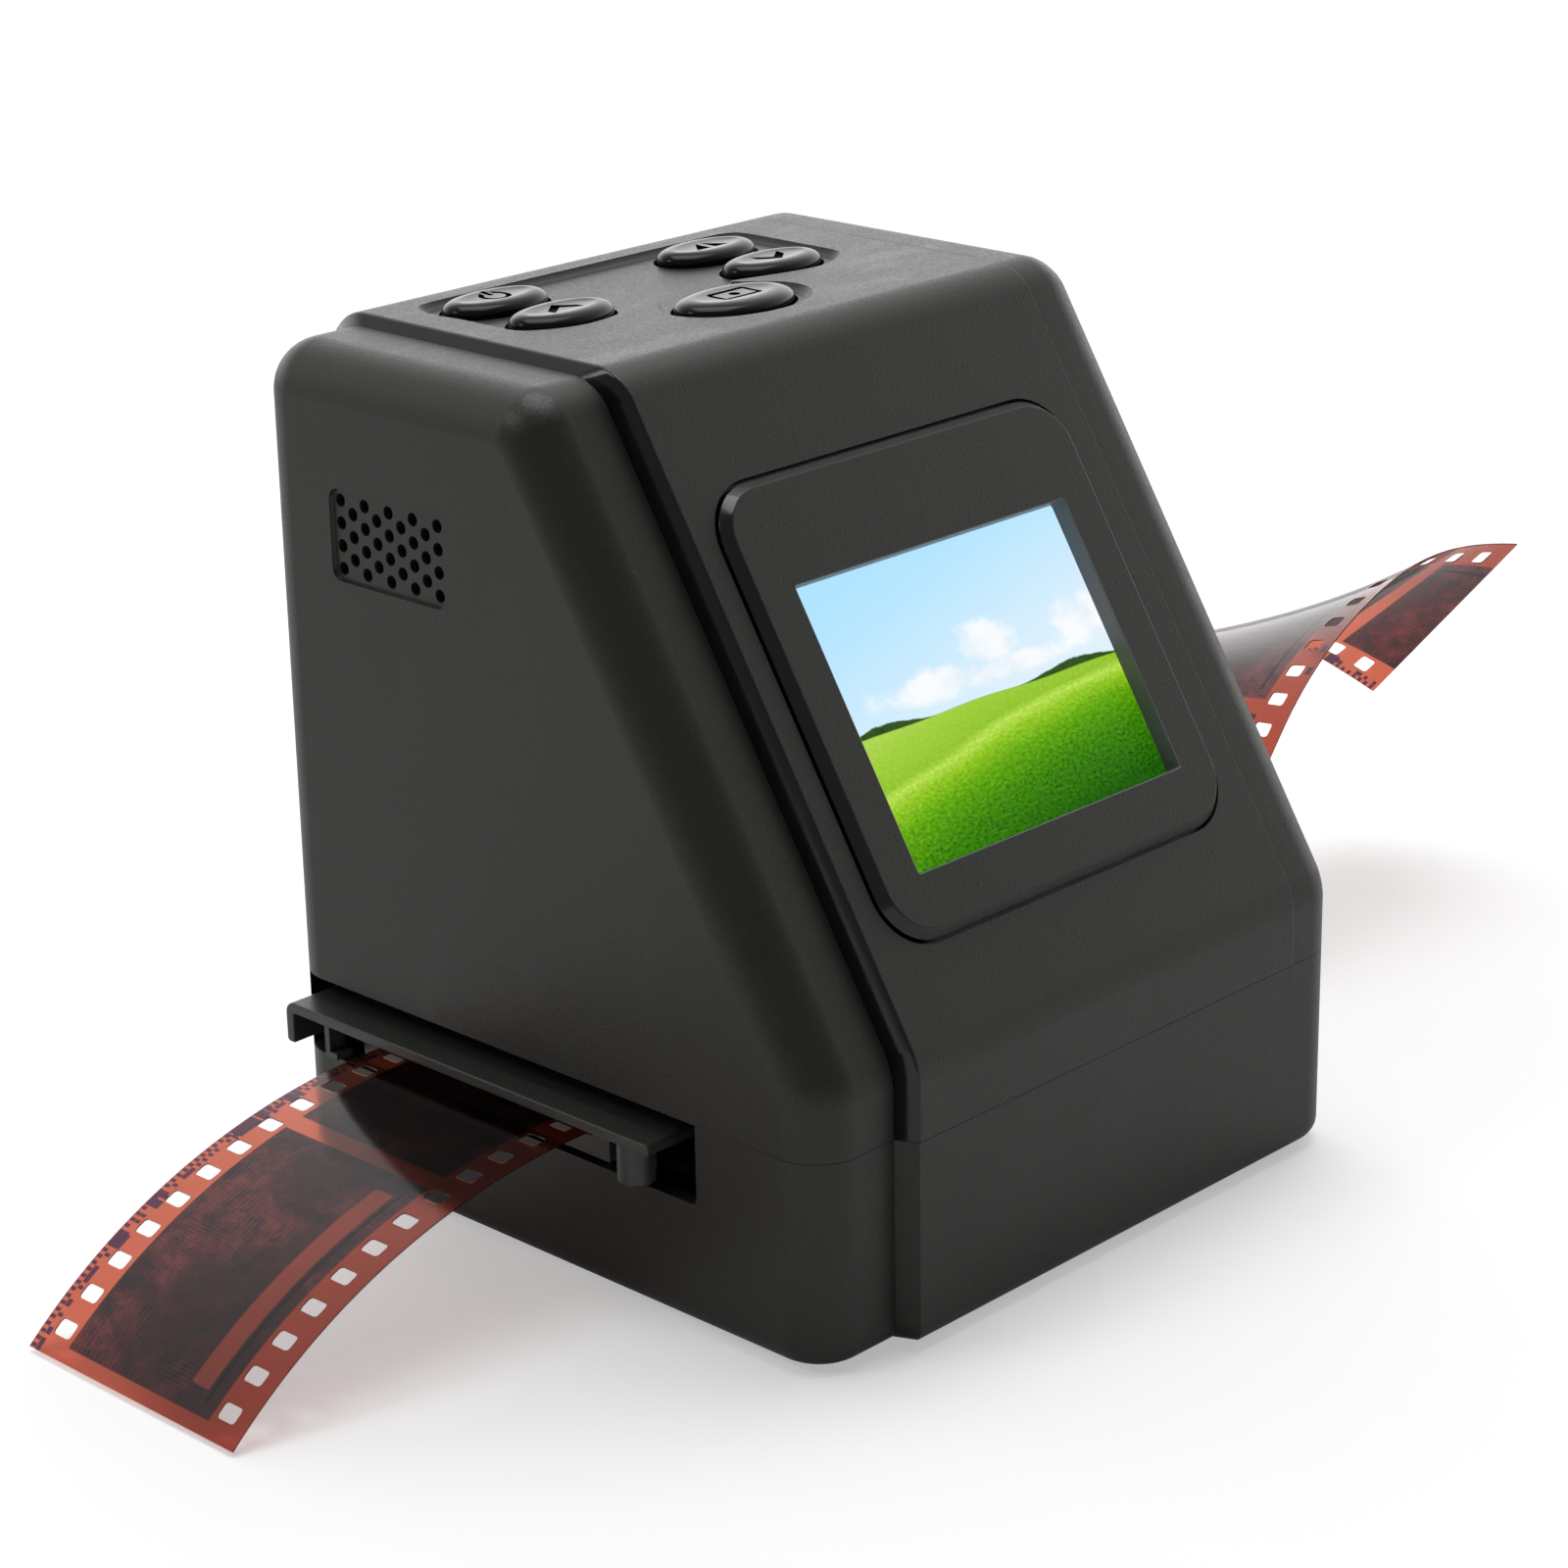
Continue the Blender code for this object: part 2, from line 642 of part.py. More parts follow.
def make_band(finish, root):
    foot_x = BAND_LEFT_X - STEP_RUN
    rings = [band_ring(foot_x, DROP, 0), band_ring(BAND_LEFT_X, FLUSH, 0)]
    rings.append(band_ring(BAND_RIGHT_X, FLUSH, 0))
    band = add("centre_band", loft(rings), finish, root)
    below = PARTING_Z - OVERRUN
    flange_x = foot_x + BAND_FLANGE
    wide = [
        upper_ring(x, FLUSH, WALL, below)
        for x in (flange_x, BAND_RIGHT_X + OVERRUN)
    ]
    deep = [upper_ring(x, DROP, WALL, below) for x in (foot_x - OVERRUN, flange_x + WALL)]
    cut(band, loft(wide), loft(deep))
    pocket = bezel_outline(GAP)
    cut(band, plate(pocket, -BEZEL_POCKET, OVERRUN, SLOPE_FRAME), screen_opening())
    cut(band, plate(dish_outline(), HEIGHT - DISH_DEPTH, HEIGHT + OVERRUN))
    holes = []
    for _, x, y, half_length, half_width in buttons():
        outline = ellipse(x, y, half_length + BUTTON_CLEARANCE, half_width + BUTTON_CLEARANCE)
        holes.append(plate(outline, HEIGHT - WALL - OVERRUN / 2, HEIGHT))
    cut(band, together(holes))
    half = USB_WIDTH / 2 + USB_OPENING_MARGIN
    z0 = USB_BOARD_Z + BOARD_THICKNESS + GAP - USB_OPENING_MARGIN
    z1 = z0 + USB_HEIGHT + 2 * USB_OPENING_MARGIN
    cut(band, box((USB_X - half, REAR_Y - WALL - GAP, z0), (USB_X + half, REAR_Y + WALL, z1)))
    join(band, together(band_bosses()), together(band_tongues()), together(band_tongue_roots()))
    cut(band, together(boss_pilots()))


def band_bosses():
    """Posts for the button board and the main board, and the shelf under the USB board."""
    for x, y in button_board_corners():
        yield post(x, y, button_board_top() + GAP, HEIGHT - DISH_DEPTH - WALL / 2)
    for x, y in main_board_corners():
        low, high = main_board_top() + GAP, -(BEZEL_POCKET + WALL) / 2
        yield rod(x, y, low, high, BOSS_RADIUS, SLOPE_FRAME, SMALL_STEPS)
    half = USB_BOARD_WIDTH / 2
    top = USB_BOARD_Z - GAP
    low = (USB_X - half, REAR_Y - WALL - USB_BOARD_DEPTH / 2, top - USB_SHELF)
    yield box(low, (USB_X + half, REAR_Y - WALL / 2, top))


def boss_pilots():
    """Holes in the posts for the board screws."""
    radius = SCREW_SHANK_RADIUS + GAP
    for x, y in button_board_corners():
        low = button_board_top()
        yield post(x, y, low, low + SMALL_SHANK_LENGTH, radius)
    for x, y in main_board_corners():
        low = main_board_top()
        high = low + SMALL_SHANK_LENGTH - GAP
        yield rod(x, y, low, high, radius, SLOPE_FRAME, SMALL_STEPS)


def band_tongues():
    """Tongues under the band's front and back walls that reach down into the lower case."""
    for x, inward, face in tongue_places():
        y0, y1 = sorted((face + inward * GAP, face + inward * (GAP + TONGUE_THICKNESS)))
        x0, x1 = x - TONGUE_WIDTH / 2, x + TONGUE_WIDTH / 2
        yield box((x0, y0, PARTING_Z - TONGUE_REACH), (x1, y1, PARTING_Z + TONGUE_ROOT))


def band_tongue_roots():
    for x, inward, face in tongue_places():
        y0, y1 = sorted((face - inward * WALL / 2, face + inward * (GAP + TONGUE_THICKNESS)))
        x0, x1 = x - TONGUE_WIDTH / 2, x + TONGUE_WIDTH / 2
        yield box((x0, y0, PARTING_Z + GAP), (x1, y1, PARTING_Z + TONGUE_ROOT))


def tongue_places():
    """Centre, inward direction and wall face of each tongue of the band."""
    for x in (-TONGUE_X, TONGUE_X):
        yield x, 1, FRONT_Y + WALL
        yield x, -1, REAR_Y - WALL


def bezel_outline(wider):
    x0, x1 = BEZEL_LEFT_X - wider, BEZEL_RIGHT_X + wider
    return rounded_box(x0, x1, -BEZEL_BOTTOM - wider, -BEZEL_TOP + wider, BEZEL_CORNER + wider)


def window_box(margin):
    """Left, right, top and bottom of the window, or of what lies behind it."""
    half = WINDOW_WIDTH / 2 + margin
    x0, x1 = WINDOW_CENTRE_X - half, WINDOW_CENTRE_X + half
    return x0, x1, WINDOW_TOP - margin, WINDOW_BOTTOM + margin


def screen_opening():
    return slope_box(*window_box(PANE_MARGIN + GAP), -OVERRUN / 2, OVERRUN)


def dish_outline():
    """The lobed outline of the dish: the farthest reach of its straight back and its lobes."""
    shapes = [rounded_box(DISH_LEFT_X, DISH_RIGHT_X, DISH_FRONT_Y, DISH_REAR_Y, DISH_CORNER)]
    for _, x, y, half_length, half_width in buttons():
        lobe = ellipse(x, y, half_length + DISH_MARGIN, half_width + DISH_MARGIN, DISH_STEPS)
        shapes.append([(px, min(py, DISH_REAR_Y)) for px, py in lobe])
    middle = Vector((BUTTON_MIDDLE_X, BUTTON_FRONT_Y))
    outline = []
    for k in range(DISH_STEPS):
        turn = 2 * math.pi * k / DISH_STEPS
        ray = Vector((math.cos(turn), math.sin(turn)))
        reach = max(ray_reach(middle, ray, shape) for shape in shapes)
        outline.append(tuple(middle + ray * reach))
    return outline


def ray_reach(start, ray, outline):
    """How far along a ray the last crossing with an outline lies, or 0."""
    farthest = 0
    for i, point in enumerate(outline):
        a, b = Vector(outline[i - 1]) - start, Vector(point) - start
        edge = b - a
        across = ray.cross(edge)
        if not across:
            continue
        along, place = a.cross(edge) / across, a.cross(ray) / across
        if 0 <= place <= 1:
            farthest = max(farthest, along)
    return farthest


def buttons():
    """Name, centre and half sizes of each button."""
    small = (BUTTON_HALF_LENGTH, BUTTON_HALF_WIDTH)
    return [
        ("power", BUTTON_LEFT_X - BUTTON_REAR_SHIFT, BUTTON_REAR_Y, *small),
        ("up", BUTTON_LEFT_X, BUTTON_FRONT_Y, *small),
        ("mirror", BUTTON_RIGHT_X - BUTTON_REAR_SHIFT, BUTTON_REAR_Y, *small),
        ("down", BUTTON_RIGHT_X, BUTTON_FRONT_Y, *small),
        ("scan", BUTTON_MIDDLE_X, BUTTON_WIDE_Y, WIDE_HALF_LENGTH, WIDE_HALF_WIDTH),
    ]


def flange_top():
    return HEIGHT - WALL - GAP


def stem_low():
    return flange_top() - BUTTON_FLANGE_THICKNESS - BUTTON_STEM_LENGTH


def switch_top():
    return stem_low() - GAP - PLUNGER_PROUD


def button_board_top():
    return switch_top() - SWITCH_HEIGHT - GAP


def button_board_corners():
    for x in (BUTTON_BOARD_LEFT_X + BOARD_MARGIN, BUTTON_BOARD_RIGHT_X - BOARD_MARGIN):
        for y in (BUTTON_BOARD_FRONT_Y + BOARD_MARGIN, BUTTON_BOARD_REAR_Y - BOARD_MARGIN):
            yield x, y


def make_button(name, x, y, half_length, half_width, finish, carrier):
    """Stem, retaining flange, upright rim and dome, as one turned-like loft of ellipses."""
    low = flange_top() - BUTTON_FLANGE_THICKNESS
    rim = HEIGHT - DISH_DEPTH + BUTTON_RIM_RISE
    wide = BUTTON_FLANGE
    sections = [
        (BUTTON_STEM_RADIUS, BUTTON_STEM_RADIUS, stem_low()),
        (BUTTON_STEM_RADIUS, BUTTON_STEM_RADIUS, low),
        (half_length + wide, half_width + wide, low),
        (half_length + wide, half_width + wide, flange_top()),
        (half_length, half_width, flange_top()),
        (half_length, half_width, rim),
    ]
    for inner in DOME_SHARES:
        rise = BUTTON_DOME * math.sqrt(1 - (1 - inner) ** 2)
        drawn = half_width * inner
        sections.append((half_length - drawn, half_width - drawn, rim + rise))
    rings = [[(px, py, z) for px, py in ellipse(x, y, a, b)] for a, b, z in sections]
    add(f"{name}_button", loft(rings), finish, carrier, True)


def make_switches(plastic, plunger_finish, root, carriers):
    """A tactile switch under each button: a fixed case and the plunger that the stem presses."""
    top = switch_top()
    half = SWITCH_SIDE / 2
    depth = PLUNGER_SEAT + BUTTON_TRAVEL + GAP
    for name, x, y, _, _ in buttons():
        low = (x - half, y - half, top - SWITCH_HEIGHT)
        case = add(f"{name}_switch", box(low, (x + half, y + half, top)), plastic, root)
        bore = PLUNGER_RADIUS + GAP
        cut(case, rod(x, y, top - depth, top + OVERRUN, bore, steps=SMALL_STEPS))
        shape = post(x, y, top - PLUNGER_SEAT, top + PLUNGER_PROUD, PLUNGER_RADIUS)
        add(f"{name}_plunger", shape, plunger_finish, carriers[name])


def make_button_board(finish, steel, root):
    high = button_board_top()
    low = high - BOARD_THICKNESS
    corner = (BUTTON_BOARD_LEFT_X, BUTTON_BOARD_FRONT_Y, low)
    shape = box(corner, (BUTTON_BOARD_RIGHT_X, BUTTON_BOARD_REAR_Y, high))
    board = add("button_board", shape, finish, root)
    holes = []
    for number, (x, y) in enumerate(button_board_corners()):
        holes.append(post(x, y, low - WALL, high + WALL, BOARD_HOLE_RADIUS))
        board_screw(f"button_board_screw_{number}", x, y, low, steel, root, IN_PLACE)
    cut(board, together(holes))


def board_screw(name, x, y, face, finish, root, frame):
    """A screw through a board from its underside into the post above it."""
    high = face - GAP
    tip = face + SMALL_SHANK_LENGTH
    head = (high - SMALL_HEAD_HEIGHT, high, tip, SMALL_HEAD_RADIUS)
    screw(name, x, y, *head, finish, root, frame)


def main_board_corners():
    """Two places at opposite corners, across and up the slope."""
    half = MAIN_BOARD_WIDTH / 2 - BOARD_MARGIN
    yield WINDOW_CENTRE_X - half, -MAIN_BOARD_TOP - BOARD_MARGIN
    yield WINDOW_CENTRE_X + half, BOARD_MARGIN - MAIN_BOARD_BOTTOM


def lcd_top():
    return -BEZEL_POCKET - PANE_THICKNESS - GAP


def main_board_top():
    return lcd_top() - LCD_THICKNESS - GAP


def make_screen(shell, clear, display, board_finish, steel, root):
    """Bezel, pane, display and main board, stacked inwards from the sloping face."""
    ledge = BEZEL_PROUD - BEZEL_SLANT
    rings = [
        [(x, y, z) for x, y in bezel_outline(-narrower)]
        for z, narrower in ((GAP - BEZEL_POCKET, 0), (ledge, 0), (BEZEL_PROUD, BEZEL_SLANT))
    ]
    bezel = add("screen_bezel", loft(rings, SLOPE_FRAME), shell, root)
    cut(bezel, slope_box(*window_box(0), -OVERRUN, OVERRUN))
    pane = slope_box(*window_box(PANE_MARGIN), -BEZEL_POCKET - PANE_THICKNESS, -BEZEL_POCKET)
    add("screen_window", pane, clear, root)
    top = lcd_top()
    lcd = slope_box(*window_box(LCD_MARGIN), top - LCD_THICKNESS, top)
    add("lcd_panel", lcd, display, root)
    high = main_board_top()
    low = high - BOARD_THICKNESS
    half = MAIN_BOARD_WIDTH / 2
    x0, x1 = WINDOW_CENTRE_X - half, WINDOW_CENTRE_X + half
    board = slope_box(x0, x1, MAIN_BOARD_TOP, MAIN_BOARD_BOTTOM, low, high)
    main_board = add("main_board", board, board_finish, root)
    holes = []
    for number, (x, y) in enumerate(main_board_corners()):
        span = (low - WALL, high + WALL)
        holes.append(rod(x, y, *span, BOARD_HOLE_RADIUS, SLOPE_FRAME, SMALL_STEPS))
        board_screw(f"main_board_screw_{number}", x, y, low, steel, root, SLOPE_FRAME)
    cut(main_board, together(holes))


def make_speaker(finish, root):
    """A round speaker: its frame close behind the grille and its magnet inwards."""
    y, z = speaker_centre()
    low = LEFT_X + WALL + GAP
    mid = low + SPEAKER_DEPTH
    shape = along_x(y, z, low, mid, SPEAKER_RADIUS, ROUND_STEPS)
    speaker = add("speaker", shape, finish, root)
    high = mid + SPEAKER_MAGNET_DEPTH
    join(speaker, along_x(y, z, mid - WALL, high, SPEAKER_MAGNET_RADIUS, ROUND_STEPS))


def lower_rings(thinner, floor, top):
    """Sections of the lower case from end to end or, with thinner, of its hollow."""
    radius = END_ROUNDING - thinner
    left = rounded_end(LEFT_X + thinner, 1, radius)
    rings = [lower_ring(x, DROP, thinner, inset, floor, top) for x, inset in left]
    for x, insets in ((BAND_LEFT_X - STEP_RUN, DROP), (BAND_LEFT_X, FLUSH)):
        rings.append(lower_ring(x, insets, thinner, 0, floor, top))
    right = list(rounded_end(RIGHT_X - thinner, -1, radius))
    for x, inset in reversed(right):
        rings.append(lower_ring(x, FLUSH, thinner, inset, floor, top))
    return rings


def make_lower_case(finish, root):
    top = PARTING_Z - GAP
    floor = FOOT_PROUD + WALL
    case = add("lower_case", loft(lower_rings(0, FOOT_PROUD, top)), finish, root)
    cut(case, loft(lower_rings(WALL, floor, PARTING_Z + OVERRUN)))
    join(case, together(lower_posts(floor - WALL / 2)))
    left = (LEFT_X - OVERRUN, LEFT_X + SLOT_CUT_IN)
    right = (RIGHT_X - SLOT_CUT_IN, RIGHT_X + OVERRUN)
    slots = [
        box((x0, SLOT_FRONT_Y, SLOT_FLOOR_Z), (x1, SLOT_REAR_Y, PARTING_Z + OVERRUN))
        for x0, x1 in (left, right)
    ]
    cut(case, together(slots), together(screw_wells()), together(screw_ways()))
    pockets = [post(x, y, -WALL, FOOT_PROUD + FOOT_POCKET, FOOT_RADIUS + GAP) for x, y in feet()]
    cut(case, together(pockets))


def lower_posts(low):
    """Posts on the floor, for the deck, the lamp board, the card board and the case screws."""
    for x, y in deck_corners():
        yield post(x, y, low, deck_top() - DECK_THICKNESS - GAP)
    for x, y in lamp_board_corners():
        yield post(x, y, low, lamp_board_low() - GAP)
    for x in (CARD_BOARD_LEFT_X + BOARD_MARGIN, CARD_POST_RIGHT_X):
        yield post(x, CARD_BOARD_FRONT_Y + BOARD_MARGIN, low, CARD_BOARD_Z - GAP)
    radius = SCREW_HEAD_RADIUS + SCREW_BOSS_WALL
    for side in (-1, 1):
        yield post(*screw_place(side), low, PARTING_Z - GAP, radius)


def screw_wells():
    """Sunk seats for the heads of the case screws."""
    high = FOOT_PROUD + SCREW_SEAT + SCREW_HEAD_HEIGHT + GAP
    for side in (-1, 1):
        yield post(*screw_place(side), -WALL, high, SCREW_HEAD_RADIUS + GAP)


def screw_ways():
    for side in (-1, 1):
        low, high = FOOT_PROUD + SCREW_SEAT, PARTING_Z + WALL
        yield post(*screw_place(side), low, high, SCREW_SHANK_RADIUS + GAP)


def feet():
    for x in (-FOOT_X, FOOT_X):
        for y in (FOOT_FRONT_Y, FOOT_REAR_Y):
            yield x, y


def make_feet_and_screws(rubber, steel, root):
    for (x, y), name in zip(feet(), ("front_left", "rear_left", "front_right", "rear_right")):
        shape = rod(x, y, 0, FOOT_PROUD + FOOT_POCKET - GAP, FOOT_RADIUS)
        add(f"foot_{name}", shape, rubber, root)
    low = FOOT_PROUD + SCREW_SEAT
    high = low + SCREW_HEAD_HEIGHT
    for side, name in ((-1, "left"), (1, "right")):
        head = (low, high, high + SCREW_LENGTH, SCREW_HEAD_RADIUS)
        screw(f"case_screw_{name}", *screw_place(side), *head, steel, root)


def deck_top():
    return CARRIER_UNDER_Z - GAP


def deck_corners():
    x = DECK_HALF_LENGTH - DECK_POST_MARGIN
    for y in (DECK_FRONT_Y + DECK_POST_MARGIN, DECK_REAR_Y - DECK_POST_MARGIN):
        yield -x, y
        yield x, y


def lamp_board_low():
    return FOOT_PROUD + WALL + LAMP_BOARD_LIFT


def lamp_board_corners():
    x = LAMP_LENGTH / 2
    for side in (-1, 1):
        yield -x, FILM_CENTRE_Y + side * LAMP_WIDTH / 2
        yield x, FILM_CENTRE_Y + side * LAMP_WIDTH / 2


def centred_box(length, width, low, high):
    """A box over the middle of the film gate."""
    y0, y1 = FILM_CENTRE_Y - width / 2, FILM_CENTRE_Y + width / 2
    return box((-length / 2, y0, low), (length / 2, y1, high))


def make_lamp(board_finish, white, opal, glow, deck_finish, root):
    """Lamp board and its LEDs, the white box round them, the diffuser, and the sliding deck."""
    length, width = LAMP_LENGTH + 2 * LAMP_BOARD_MARGIN, LAMP_WIDTH + 2 * LAMP_BOARD_MARGIN
    low = lamp_board_low()
    high = low + BOARD_THICKNESS
    add("lamp_board", centred_box(length, width, low, high), board_finish, root)
    led_low = high + GAP
    number = 0
    for x in (-LED_SPACING, LED_SPACING):
        for y in (-LED_SPACING / 2, LED_SPACING / 2):
            shape = post(x, FILM_CENTRE_Y + y, led_low, led_low + LED_HEIGHT, LED_RADIUS)
            add(f"lamp_led_{number}", shape, glow, root)
            number += 1
    top = deck_top()
    under = top - DIFFUSER_THICKNESS
    housing = centred_box(LAMP_LENGTH, LAMP_WIDTH, led_low, under - GAP)
    lamp = add("lamp_housing", housing, white, root)
    inner = (LAMP_LENGTH - 2 * LAMP_WALL, LAMP_WIDTH - 2 * LAMP_WALL)
    cut(lamp, centred_box(*inner, low, top))
    add("lamp_diffuser", centred_box(LAMP_LENGTH, LAMP_WIDTH, under, top), opal, root)
    corner = (DECK_HALF_LENGTH, DECK_REAR_Y, top)
    shape = box((-DECK_HALF_LENGTH, DECK_FRONT_Y, top - DECK_THICKNESS), corner)
    deck = add("carrier_deck", shape, deck_finish, root)
    y = CARRIER_FRONT_Y - GAP
    low = (-DECK_HALF_LENGTH, y - GUIDE_THICKNESS, top - DECK_THICKNESS / 2)
    join(deck, box(low, (DECK_HALF_LENGTH, y, GUIDE_TOP_Z)))
    cut(deck, centred_box(LAMP_LENGTH + 2 * GAP, LAMP_WIDTH + 2 * GAP, 0, top + WALL))


def make_camera(dark, metal, glass, chip, board_finish, root):
    """Dark chamber over the gate, lens in its barrel and holder, sensor and sensor board."""
    y = FILM_CENTRE_Y
    shape = centred_box(CHAMBER_LENGTH, CHAMBER_WIDTH, CHAMBER_FOOT_Z, CHAMBER_TOP_Z)
    chamber = add("camera_chamber", shape, dark, root)
    wall = CHAMBER_WALL
    inner = (CHAMBER_LENGTH - 2 * wall, CHAMBER_WIDTH - 2 * wall)
    near, far = y + CHAMBER_WIDTH / 2 - wall / 2, REAR_Y - WALL - GAP
    lug_high = CHAMBER_TOP_Z - CHAMBER_LUG_DROP
    lug_low = lug_high - CHAMBER_LUG_HEIGHT
    lugs = []
    for x in (-CHAMBER_LUG_X, CHAMBER_LUG_X):
        x0, x1 = x - CHAMBER_LUG_WIDTH / 2, x + CHAMBER_LUG_WIDTH / 2
        lugs.append(box((x0, near, lug_low), (x1, far, lug_high)))
    join(chamber, together(lugs))
    cut(chamber, centred_box(*inner, CHAMBER_FOOT_Z - WALL, CHAMBER_TOP_Z - wall))
    cut(chamber, rod(0, y, CHAMBER_TOP_Z - OVERRUN, CHAMBER_TOP_Z + WALL, BARREL_RADIUS + GAP))
    low = CHAMBER_TOP_Z + GAP
    high = low + HOLDER_HEIGHT
    bore = BARREL_RADIUS + GAP
    holder = add("lens_holder", rod(0, y, low, high, bore + HOLDER_WALL), dark, root)
    cut(holder, rod(0, y, low - WALL, high + WALL, bore))
    bottom = CHAMBER_TOP_Z - BARREL_BELOW
    top = CHAMBER_TOP_Z + BARREL_ABOVE
    barrel = add("lens_barrel", rod(0, y, bottom, top, BARREL_RADIUS), metal, root)
    cut(barrel, rod(0, y, bottom - WALL, top + WALL, BARREL_BORE))
    lens_low = bottom + LENS_DEPTH
    lens = rod(0, y, lens_low, lens_low + LENS_THICKNESS, BARREL_BORE - GAP)
    add("camera_lens", lens, glass, root, True)
    side = SENSOR_SIDE
    add("image_sensor", centred_box(side, side, high - SENSOR_THICKNESS, high), chip, root)
    side = SENSOR_BOARD_SIDE
    board = centred_box(side, side, high + GAP, high + GAP + BOARD_THICKNESS)
    add("sensor_board", board, board_finish, root)


def make_sockets(board_finish, steel, root):
    """Memory-card socket on its board at the right, and USB socket on its board at the back."""
    x1 = RIGHT_X - WALL - GAP
    top = CARD_BOARD_Z + BOARD_THICKNESS
    low = (CARD_BOARD_LEFT_X, CARD_BOARD_FRONT_Y, CARD_BOARD_Z)
    add("card_board", box(low, (x1, CARD_BOARD_REAR_Y, top)), board_finish, root)
    low = Vector((x1 - CARD_SOCKET_DEPTH, CARD_SOCKET_FRONT_Y, top + GAP))
    size = Vector((CARD_SOCKET_DEPTH, CARD_SOCKET_WIDTH, CARD_SOCKET_HEIGHT))
    socket = add("card_socket", box(low, low + size), steel, root)
    wall = Vector((CARD_SOCKET_WALL, CARD_SOCKET_WALL, CARD_SOCKET_WALL))
    mouth = Vector((OVERRUN, 0, 0))
    cut(socket, box(low + wall, low + size - wall + mouth))
    half = USB_BOARD_WIDTH / 2
    back = REAR_Y - WALL - GAP
    top = USB_BOARD_Z + BOARD_THICKNESS
    low = (USB_X - half, back - USB_BOARD_DEPTH, USB_BOARD_Z)
    add("usb_board", box(low, (USB_X + half, back, top)), board_finish, root)
    low = Vector((USB_X - USB_WIDTH / 2, REAR_Y - GAP - USB_DEPTH, top + GAP))
    size = Vector((USB_WIDTH, USB_DEPTH, USB_HEIGHT))
    socket = add("usb_socket", box(low, low + size), steel, root)
    wall = Vector((USB_WALL, USB_WALL, USB_WALL))
    mouth = Vector((0, OVERRUN, 0))
    cut(socket, box(low + wall, low + size - wall + mouth))


def make_carrier(finish, steel, carrier):
    """The bed that the film lies in and the cover over it, hinged on two pins at the back."""
    under = CARRIER_TOP_Z - COVER_THICKNESS
    rail_top = under - GAP
    half = CARRIER_BED_LENGTH / 2
    inner = FILM_WIDTH + 2 * FILM_SIDE_PLAY
    shape = centred_box(CARRIER_BED_LENGTH, inner + 2 * RAIL_WIDTH, CARRIER_UNDER_Z, rail_top)
    bed = add("carrier_bed", shape, finish, carrier)
    floor = FILM_Z - FILM_THICKNESS / 2 - FILM_PLAY
    cut(bed, centred_box(CARRIER_BED_LENGTH + OVERRUN, inner, floor, rail_top + WALL))
    cut(bed, gate(), together(hinge_rods(KNUCKLE_RADIUS + GAP, -GAP, 2 * KNUCKLE_LENGTH + GAP)))
    rail_y = FILM_CENTRE_Y + inner / 2 + RAIL_WIDTH / 2
    webs = []
    for x0, x1 in knuckles(1):
        high = HINGE_Z + KNUCKLE_RADIUS / 2
        webs.append(box((x0, rail_y, HINGE_Z - KNUCKLE_RADIUS / 2), (x1, HINGE_Y, high)))
    outer = [along_x(HINGE_Y, HINGE_Z, x0, x1, KNUCKLE_RADIUS) for x0, x1 in knuckles(1)]
    join(bed, together(outer), together(webs))
    cut(bed, together(hinge_rods(PIN_RADIUS + GAP, -WALL, 2 * KNUCKLE_LENGTH + WALL)))
    make_cover(finish, carrier, under)
    for shape, name in zip(hinge_rods(PIN_RADIUS, 0, 2 * KNUCKLE_LENGTH), ("left", "right")):
        add(f"hinge_pin_{name}", shape, steel, carrier, True)


def make_cover(finish, carrier, under):
    half = CARRIER_COVER_LENGTH / 2
    rear, skirt_y = CARRIER_REAR_Y, CARRIER_REAR_Y - COVER_THICKNESS
    points = [
        (CARRIER_FRONT_Y, under),
        (CARRIER_FRONT_Y, CARRIER_TOP_Z),
        (rear, CARRIER_TOP_Z),
        (rear, CARRIER_SKIRT_Z),
        (skirt_y, CARRIER_SKIRT_Z),
        (skirt_y, under),
    ]
    outline = rounded(points, (0, COVER_CORNER / 2, COVER_CORNER, 0, 0, 0))
    rings = [[(x, y, z) for y, z in outline] for x in (-half, half)]
    cover = add("carrier_cover", loft(rings), finish, carrier)
    rim = 2 * PRESSURE_RIM
    low = FILM_Z + FILM_THICKNESS / 2 + FILM_PLAY
    inside = (under + CARRIER_TOP_Z) / 2
    join(cover, centred_box(GATE_LENGTH + rim, GATE_WIDTH + rim, low, inside))
    cut(cover, gate())
    join(cover, together(cover_ends(half, inside)), together(cover_rib_feet(half)))
    blocks = []
    for x0, x1 in knuckles(0):
        y0, y1 = HINGE_Y - KNUCKLE_RADIUS, HINGE_Y + KNUCKLE_RADIUS
        blocks.append(box((x0, y0, HINGE_Z), (x1, y1, inside)))
    outer = [along_x(HINGE_Y, HINGE_Z, x0, x1, KNUCKLE_RADIUS) for x0, x1 in knuckles(0)]
    join(cover, together(blocks), together(outer))
    cut(cover, together(hinge_rods(PIN_RADIUS + GAP, -WALL, 2 * KNUCKLE_LENGTH + WALL)))


def gate():
    low, high = CARRIER_UNDER_Z - OVERRUN, CARRIER_TOP_Z + OVERRUN
    return centred_box(GATE_LENGTH, GATE_WIDTH, low, high)


def cover_ends(half, high):
    """At each end of the cover: a peg at the front and a thin rib at the back."""
    for side in (-1, 1):
        yield post(side * (half - PEG_RADIUS), PEG_Y, PEG_UNDER_Z, high, PEG_RADIUS)
        x0, x1 = sorted((side * half, side * (half - END_RIB_LENGTH)))
        y0, y1 = END_RIB_Y - END_RIB_THICKNESS / 2, END_RIB_Y + END_RIB_THICKNESS / 2
        yield box((x0, y0, CARRIER_SKIRT_Z), (x1, y1, high))


